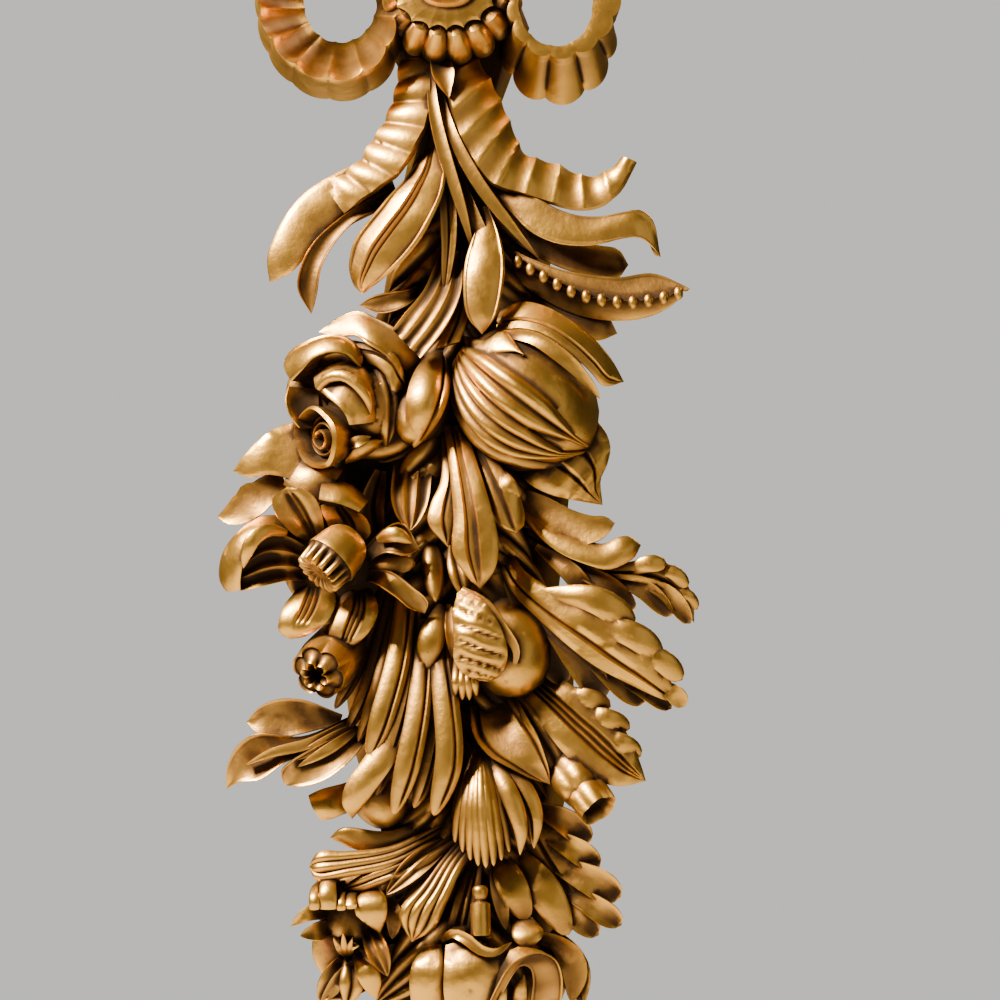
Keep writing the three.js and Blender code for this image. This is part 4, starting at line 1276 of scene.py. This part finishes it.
# %% Keep the outer skin
work = bmesh.new()
work.from_mesh(ground.data)
bmesh.ops.triangulate(work, faces=work.faces)
left_over = set(work.verts)
islands = []
while left_over:
    queue = [left_over.pop()]
    island = set(queue)
    while queue:
        for edge in queue.pop().link_edges:
            for vertex in edge.verts:
                if vertex not in island:
                    island.add(vertex)
                    queue.append(vertex)
    left_over -= island
    islands.append(island)
islands.sort(key=len)
for island in islands[:-1]:
    bmesh.ops.delete(work, geom=list(island), context="VERTS")
open_edges = sum(1 for edge in work.edges if edge.is_boundary)
work.to_mesh(ground.data)
work.free()
carving = ground
carving.name = "gilded_carving"
carving.data.name = "gilded_carving"
print("islands:", [len(island) for island in islands][-6:], "open edges:", open_edges)
print("carving has", len(carving.data.polygons), "triangles")

# %% [markdown]
# ## Where gold wears, dirt stays and shade is painted
# Old gilding is bright on what stands proud and dark where a duster never reaches. The same measures
# also paint shade into the colour: what is closed in or a furrow is darkened, and what is open and
# proud is lightened, as light would fall. Both follow the shape, so they are measured on it: rays from
# every point say how open it is, and the lean of its neighbours says whether it is a ridge or a furrow.
# The two measures are kept as attributes.

# %% Measure openness and ridges
RAYS = 20
# How far the rays look: the longer, the wider the painted shade around big forms.
SIGHT = 0.045
RAY_START = 0.0004
RIDGE_GAIN = 4
mesh = carving.data
count = len(mesh.vertices)


def read(items, key, width, kind=float):
    values = np.empty(len(items) * width, dtype=kind)
    items.foreach_get(key, values)
    return values.reshape(-1, width)


points = read(mesh.vertices, "co", 3)
normals = read(mesh.vertices, "normal", 3)
edges = read(mesh.edges, "vertices", 2, np.int64)


def neighbour_mean(values):
    total = np.zeros_like(values)
    share = np.zeros(count)
    for a, b in ((0, 1), (1, 0)):
        np.add.at(total, edges[:, a], values[edges[:, b]])
        np.add.at(share, edges[:, a], 1)
    return total / np.maximum(share, 1).reshape((-1,) + (1,) * (values.ndim - 1))


def openness():
    directions = []
    for k in range(RAYS):
        lift = (k + 0.5) / RAYS
        turn = k * math.pi * (3 - math.sqrt(5))
        flat = math.sqrt(1 - lift * lift)
        directions.append((flat * math.cos(turn), flat * math.sin(turn), lift))
    faces = [tuple(face.vertices) for face in mesh.polygons]
    tree = BVHTree.FromPolygons([tuple(p) for p in points], faces, all_triangles=True)
    result = np.zeros(count)
    for i in range(count):
        normal = Vector(normals[i])
        start = Vector(points[i]) + normal * RAY_START
        turned_to = Vector((0, 0, 1)).rotation_difference(normal)
        blocked = 0.0
        for direction in directions:
            hit = tree.ray_cast(start, turned_to @ Vector(direction), SIGHT)
            if hit[0] is not None:
                blocked += 1 - hit[3] / SIGHT
        result[i] = 1 - blocked / RAYS
    return result


# Openness sets the painted shade in the colour, along with the grime in the hollows.
open_share = openness()
for _ in range(2):
    open_share = 0.5 * open_share + 0.5 * neighbour_mean(open_share)
lean = ((points - neighbour_mean(points)) * normals).sum(1)
length = np.linalg.norm(points[edges[:, 0]] - points[edges[:, 1]], axis=1).mean()
ridge = np.clip(lean / length * RIDGE_GAIN, -1, 1)
ridge = 0.6 * ridge + 0.4 * neighbour_mean(ridge)
for name, values in (("openness", open_share), ("ridge", ridge)):
    mesh.attributes.new(name, "FLOAT", "POINT").data.foreach_set("value", values)
print("openness from", round(open_share.min(), 2), "to", round(open_share.max(), 2))

# %% Shading
SHARP_ANGLE = math.radians(48)
mesh.shade_smooth()
mesh.set_sharp_from_angle(angle=SHARP_ANGLE)
mesh.materials.clear()
mesh.materials.append(gilding)
print("edges are crisp from", round(math.degrees(SHARP_ANGLE)), "degrees")

# %% [markdown]
# ## Aged gilding with painted shade
# Gold leaf over red-brown clay looks like metal, but it is thin: rubbed ridges show the clay, recesses
# hold brown wax and soot, and the burnish varies from leaf to leaf. The colour also carries painted
# shade: closed recesses and furrows are darkened, and open crests lightened, as light would fall on
# them. One metal shader takes all of it, with its colour and roughness mixed by the two attributes and
# by noise of different sizes.

# %% Gilding material
gilding.use_nodes = True
shade = gilding.node_tree
surface = shade.nodes["Principled BSDF"]
coordinates = node(shade, "ShaderNodeTexCoord").outputs["Object"]


def noise(scale, detail=4, roughness=0.55):
    made = node(
        shade, "ShaderNodeTexNoise",
        {"Vector": coordinates, "Scale": scale, "Detail": detail, "Roughness": roughness},
    )
    return made.outputs["Fac"]


def ramp(factor, *stops):
    made = node(shade, "ShaderNodeValToRGB", {"Fac": factor})
    elements = made.color_ramp.elements
    while len(elements) < len(stops):
        elements.new(0.5)
    for element, (position, colour) in zip(elements, stops):
        element.position = position
        element.color = (*colour, 1) if isinstance(colour, tuple) else (colour, colour, colour, 1)
    return made.outputs["Color"]


def calc(operation, first, second=0.0, third=0.0):
    return maths(shade, operation, first, second, third)


def blend_colour(factor, first, second, how="MIX"):
    made = node(shade, "ShaderNodeMix", data_type="RGBA", blend_type=how)
    for socket, source in ((made.inputs[0], factor), (made.inputs[6], first), (made.inputs[7], second)):
        if isinstance(source, bpy.types.NodeSocket):
            shade.links.new(source, socket)
        elif isinstance(source, tuple):
            socket.default_value = (*source, 1)
        else:
            socket.default_value = source
    return made.outputs[2]


# Tones from dark to pale. The darkest is grime in deep recesses and also painted shade there, and bronze
# carries painted shade too; pale gold on open, proud faces is partly burnish and partly painted light.
PALE_GOLD = (0.97, 0.56, 0.11)
GOLD = (0.56, 0.305, 0.085)
BRONZE = (0.15, 0.078, 0.030)
GRIME_AND_SHADE = (0.042, 0.023, 0.011)
CLAY = (0.30, 0.085, 0.035)
TONES = ((0.04, GRIME_AND_SHADE), (0.32, BRONZE), (0.62, GOLD), (0.90, PALE_GOLD))
METAL_BY_TONE = ((0.05, 0.75), (0.32, 0.97))
ROUGH_BY_TONE = ((0.05, 0.68), (0.45, 0.46), (0.9, 0.34))
WORN_IN_LEAF = ((0.60, 0.0), (0.72, 1.0))
WORN_ON_RIDGE = ((0.10, 0.0), (0.45, 0.8))
SPECKS = ((0.70, 0.0), (0.76, 0.5))
# How strongly openness and ridges paint shade and light into the tone.
OPEN_GAIN = 1.5
OPEN_SHIFT = -0.62
PATCH_GAIN = 0.5
RIDGE_SHARE = 0.5
GROOVE_SHARE = 0.45
ROUGH_GAIN = 0.22
PATCH_SCALE = 22
LEAF_SCALE = 70
TOOL_SCALE = 160
FINE_SCALE = 420

open_value = node(shade, "ShaderNodeAttribute", attribute_name="openness").outputs["Fac"]
ridge_value = node(shade, "ShaderNodeAttribute", attribute_name="ridge").outputs["Fac"]
patchy = noise(PATCH_SCALE, detail=5)
leafy = noise(LEAF_SCALE, detail=6, roughness=0.65)
fine = noise(FINE_SCALE, detail=3)

# Painted shade and light: the tone falls where a point is closed in and further in furrows, and rises  where
# it is open and proud, as light would fall; the patchy noise adds real unevenness.
tone = calc("MULTIPLY_ADD", open_value, OPEN_GAIN, OPEN_SHIFT)
tone = calc("ADD", tone, calc("MULTIPLY_ADD", patchy, PATCH_GAIN, -PATCH_GAIN / 2))
tone = calc("ADD", tone, calc("MULTIPLY", ridge_value, RIDGE_SHARE))
tone = calc("ADD", tone, calc("MULTIPLY", calc("MINIMUM", ridge_value, 0.0), GROOVE_SHARE))
colour = ramp(tone, *TONES)
worn = calc("MULTIPLY", ramp(leafy, *WORN_IN_LEAF), ramp(ridge_value, *WORN_ON_RIDGE))
colour = blend_colour(worn, colour, CLAY)
# Fine specks of dirt in the same dark colour.
colour = blend_colour(ramp(fine, *SPECKS), colour, GRIME_AND_SHADE)
shade.links.new(colour, surface.inputs["Base Color"])

metal = ramp(tone, *METAL_BY_TONE)
metal = calc("MULTIPLY", metal, calc("SUBTRACT", 1.0, calc("MULTIPLY", worn, 0.7)))
shade.links.new(metal, surface.inputs["Metallic"])
rough = ramp(tone, *ROUGH_BY_TONE)
rough = calc("ADD", rough, calc("MULTIPLY_ADD", leafy, ROUGH_GAIN, -ROUGH_GAIN / 2))
shade.links.new(rough, surface.inputs["Roughness"])

TOOL_MARK = dict(Strength=0.35, Distance=0.0009)
GESSO_GRAIN = dict(Strength=0.22, Distance=0.0003)
tooling = node(shade, "ShaderNodeBump", {"Height": noise(TOOL_SCALE, detail=3), **TOOL_MARK})
gesso = node(shade, "ShaderNodeBump", {"Height": fine, "Normal": tooling.outputs[0], **GESSO_GRAIN})
shade.links.new(gesso.outputs[0], surface.inputs["Normal"])
print("gilding uses", len(shade.nodes), "nodes")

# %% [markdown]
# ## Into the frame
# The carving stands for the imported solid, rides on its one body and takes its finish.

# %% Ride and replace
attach(carving, "root")
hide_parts(NODE)
print("carving rides on root and stands for", NODE)

# %% [markdown]
# ## Stage
# A plain pale floor lies below, and there is no wall, so that the piece can be seen from every side.
# The main light comes from high on the left, at a grazing angle, as warm light does on a wall. A weak
# wide light fills the right, and a rim light from behind keeps the right-hand edges readable.

# %% Floor, world and lights
FLOOR_DROP = 0.25
FLOOR_HALF = 1.4
FLOOR_THICK = 0.02
FLOOR_PALE = (0.62, 0.61, 0.59, 1)
FLOOR_ROUGH = 0.8
ROOM_WARM = (0.95, 0.80, 0.62, 1)
ROOM_STRENGTH = 0.04
PAPER = (0.70, 0.69, 0.67, 1)
floor_top = low.z - FLOOR_DROP
floor = box_shell(
    "floor", (-FLOOR_HALF, -FLOOR_HALF, floor_top - FLOOR_THICK), (FLOOR_HALF, FLOOR_HALF, floor_top),
)
bpy.context.scene.collection.objects.link(floor)
pale = bpy.data.materials.new("pale_floor")
pale.use_nodes = True
pale.node_tree.nodes["Principled BSDF"].inputs["Base Color"].default_value = FLOOR_PALE
pale.node_tree.nodes["Principled BSDF"].inputs["Roughness"].default_value = FLOOR_ROUGH
floor.data.materials.append(pale)

world = bpy.data.worlds.new("studio")
world.use_nodes = True
sky = world.node_tree
room = sky.nodes["Background"]
room.inputs["Color"].default_value = ROOM_WARM
room.inputs["Strength"].default_value = ROOM_STRENGTH
paper = node(sky, "ShaderNodeBackground", {"Color": PAPER})
seen = node(sky, "ShaderNodeLightPath").outputs["Is Camera Ray"]
mixed = node(sky, "ShaderNodeMixShader", {0: seen, 1: room.outputs[0], 2: paper.outputs[0]})
sky.links.new(mixed.outputs[0], sky.nodes["World Output"].inputs["Surface"])
bpy.context.scene.world = world


def soft_light(name, spot, aim, size, power, colour):
    lamp = bpy.data.lights.new(name, "AREA")
    lamp.energy = power
    lamp.size = size
    lamp.color = colour
    holder = bpy.data.objects.new(name, lamp)
    holder.location = spot
    holder.rotation_euler = (Vector(aim) - Vector(spot)).to_track_quat("-Z", "Y").to_euler()
    bpy.context.scene.collection.objects.link(holder)


soft_light("key", spot=(-0.95, -0.60, 0.98), aim=(0, 0, 0), size=0.40, power=120, colour=(1.0, 0.82, 0.58))
soft_light("fill", spot=(1.3, -1.6, 0.1), aim=(0, 0, 0), size=1.4, power=2.5, colour=(1.0, 0.90, 0.76))
soft_light("rim", spot=(0.9, 0.7, 1.0), aim=(0, 0, 0.1), size=0.6, power=4, colour=(1.0, 0.88, 0.72))
print("floor at", round(floor_top, 3), "m and three lights")

# %% Camera
PICTURE_CENTRE = 40
PICTURE_SQUARES = 1000
DISTANCE = 2.4
FOCUS_OUT = 70
SENSOR = 36
camera_data = bpy.data.cameras.new("camera")
camera = bpy.data.objects.new("camera", camera_data)
camera.location = (PICTURE_CENTRE * SQUARE, -DISTANCE - FOCUS_OUT * STEP, 0)
camera.rotation_euler = (math.pi / 2, 0, 0)
camera_data.sensor_width = SENSOR
camera_data.lens = camera_data.sensor_width * DISTANCE / (PICTURE_SQUARES * SQUARE)
bpy.context.scene.collection.objects.link(camera)
bpy.context.scene.camera = camera
print("lens", round(camera_data.lens, 1), "mm")
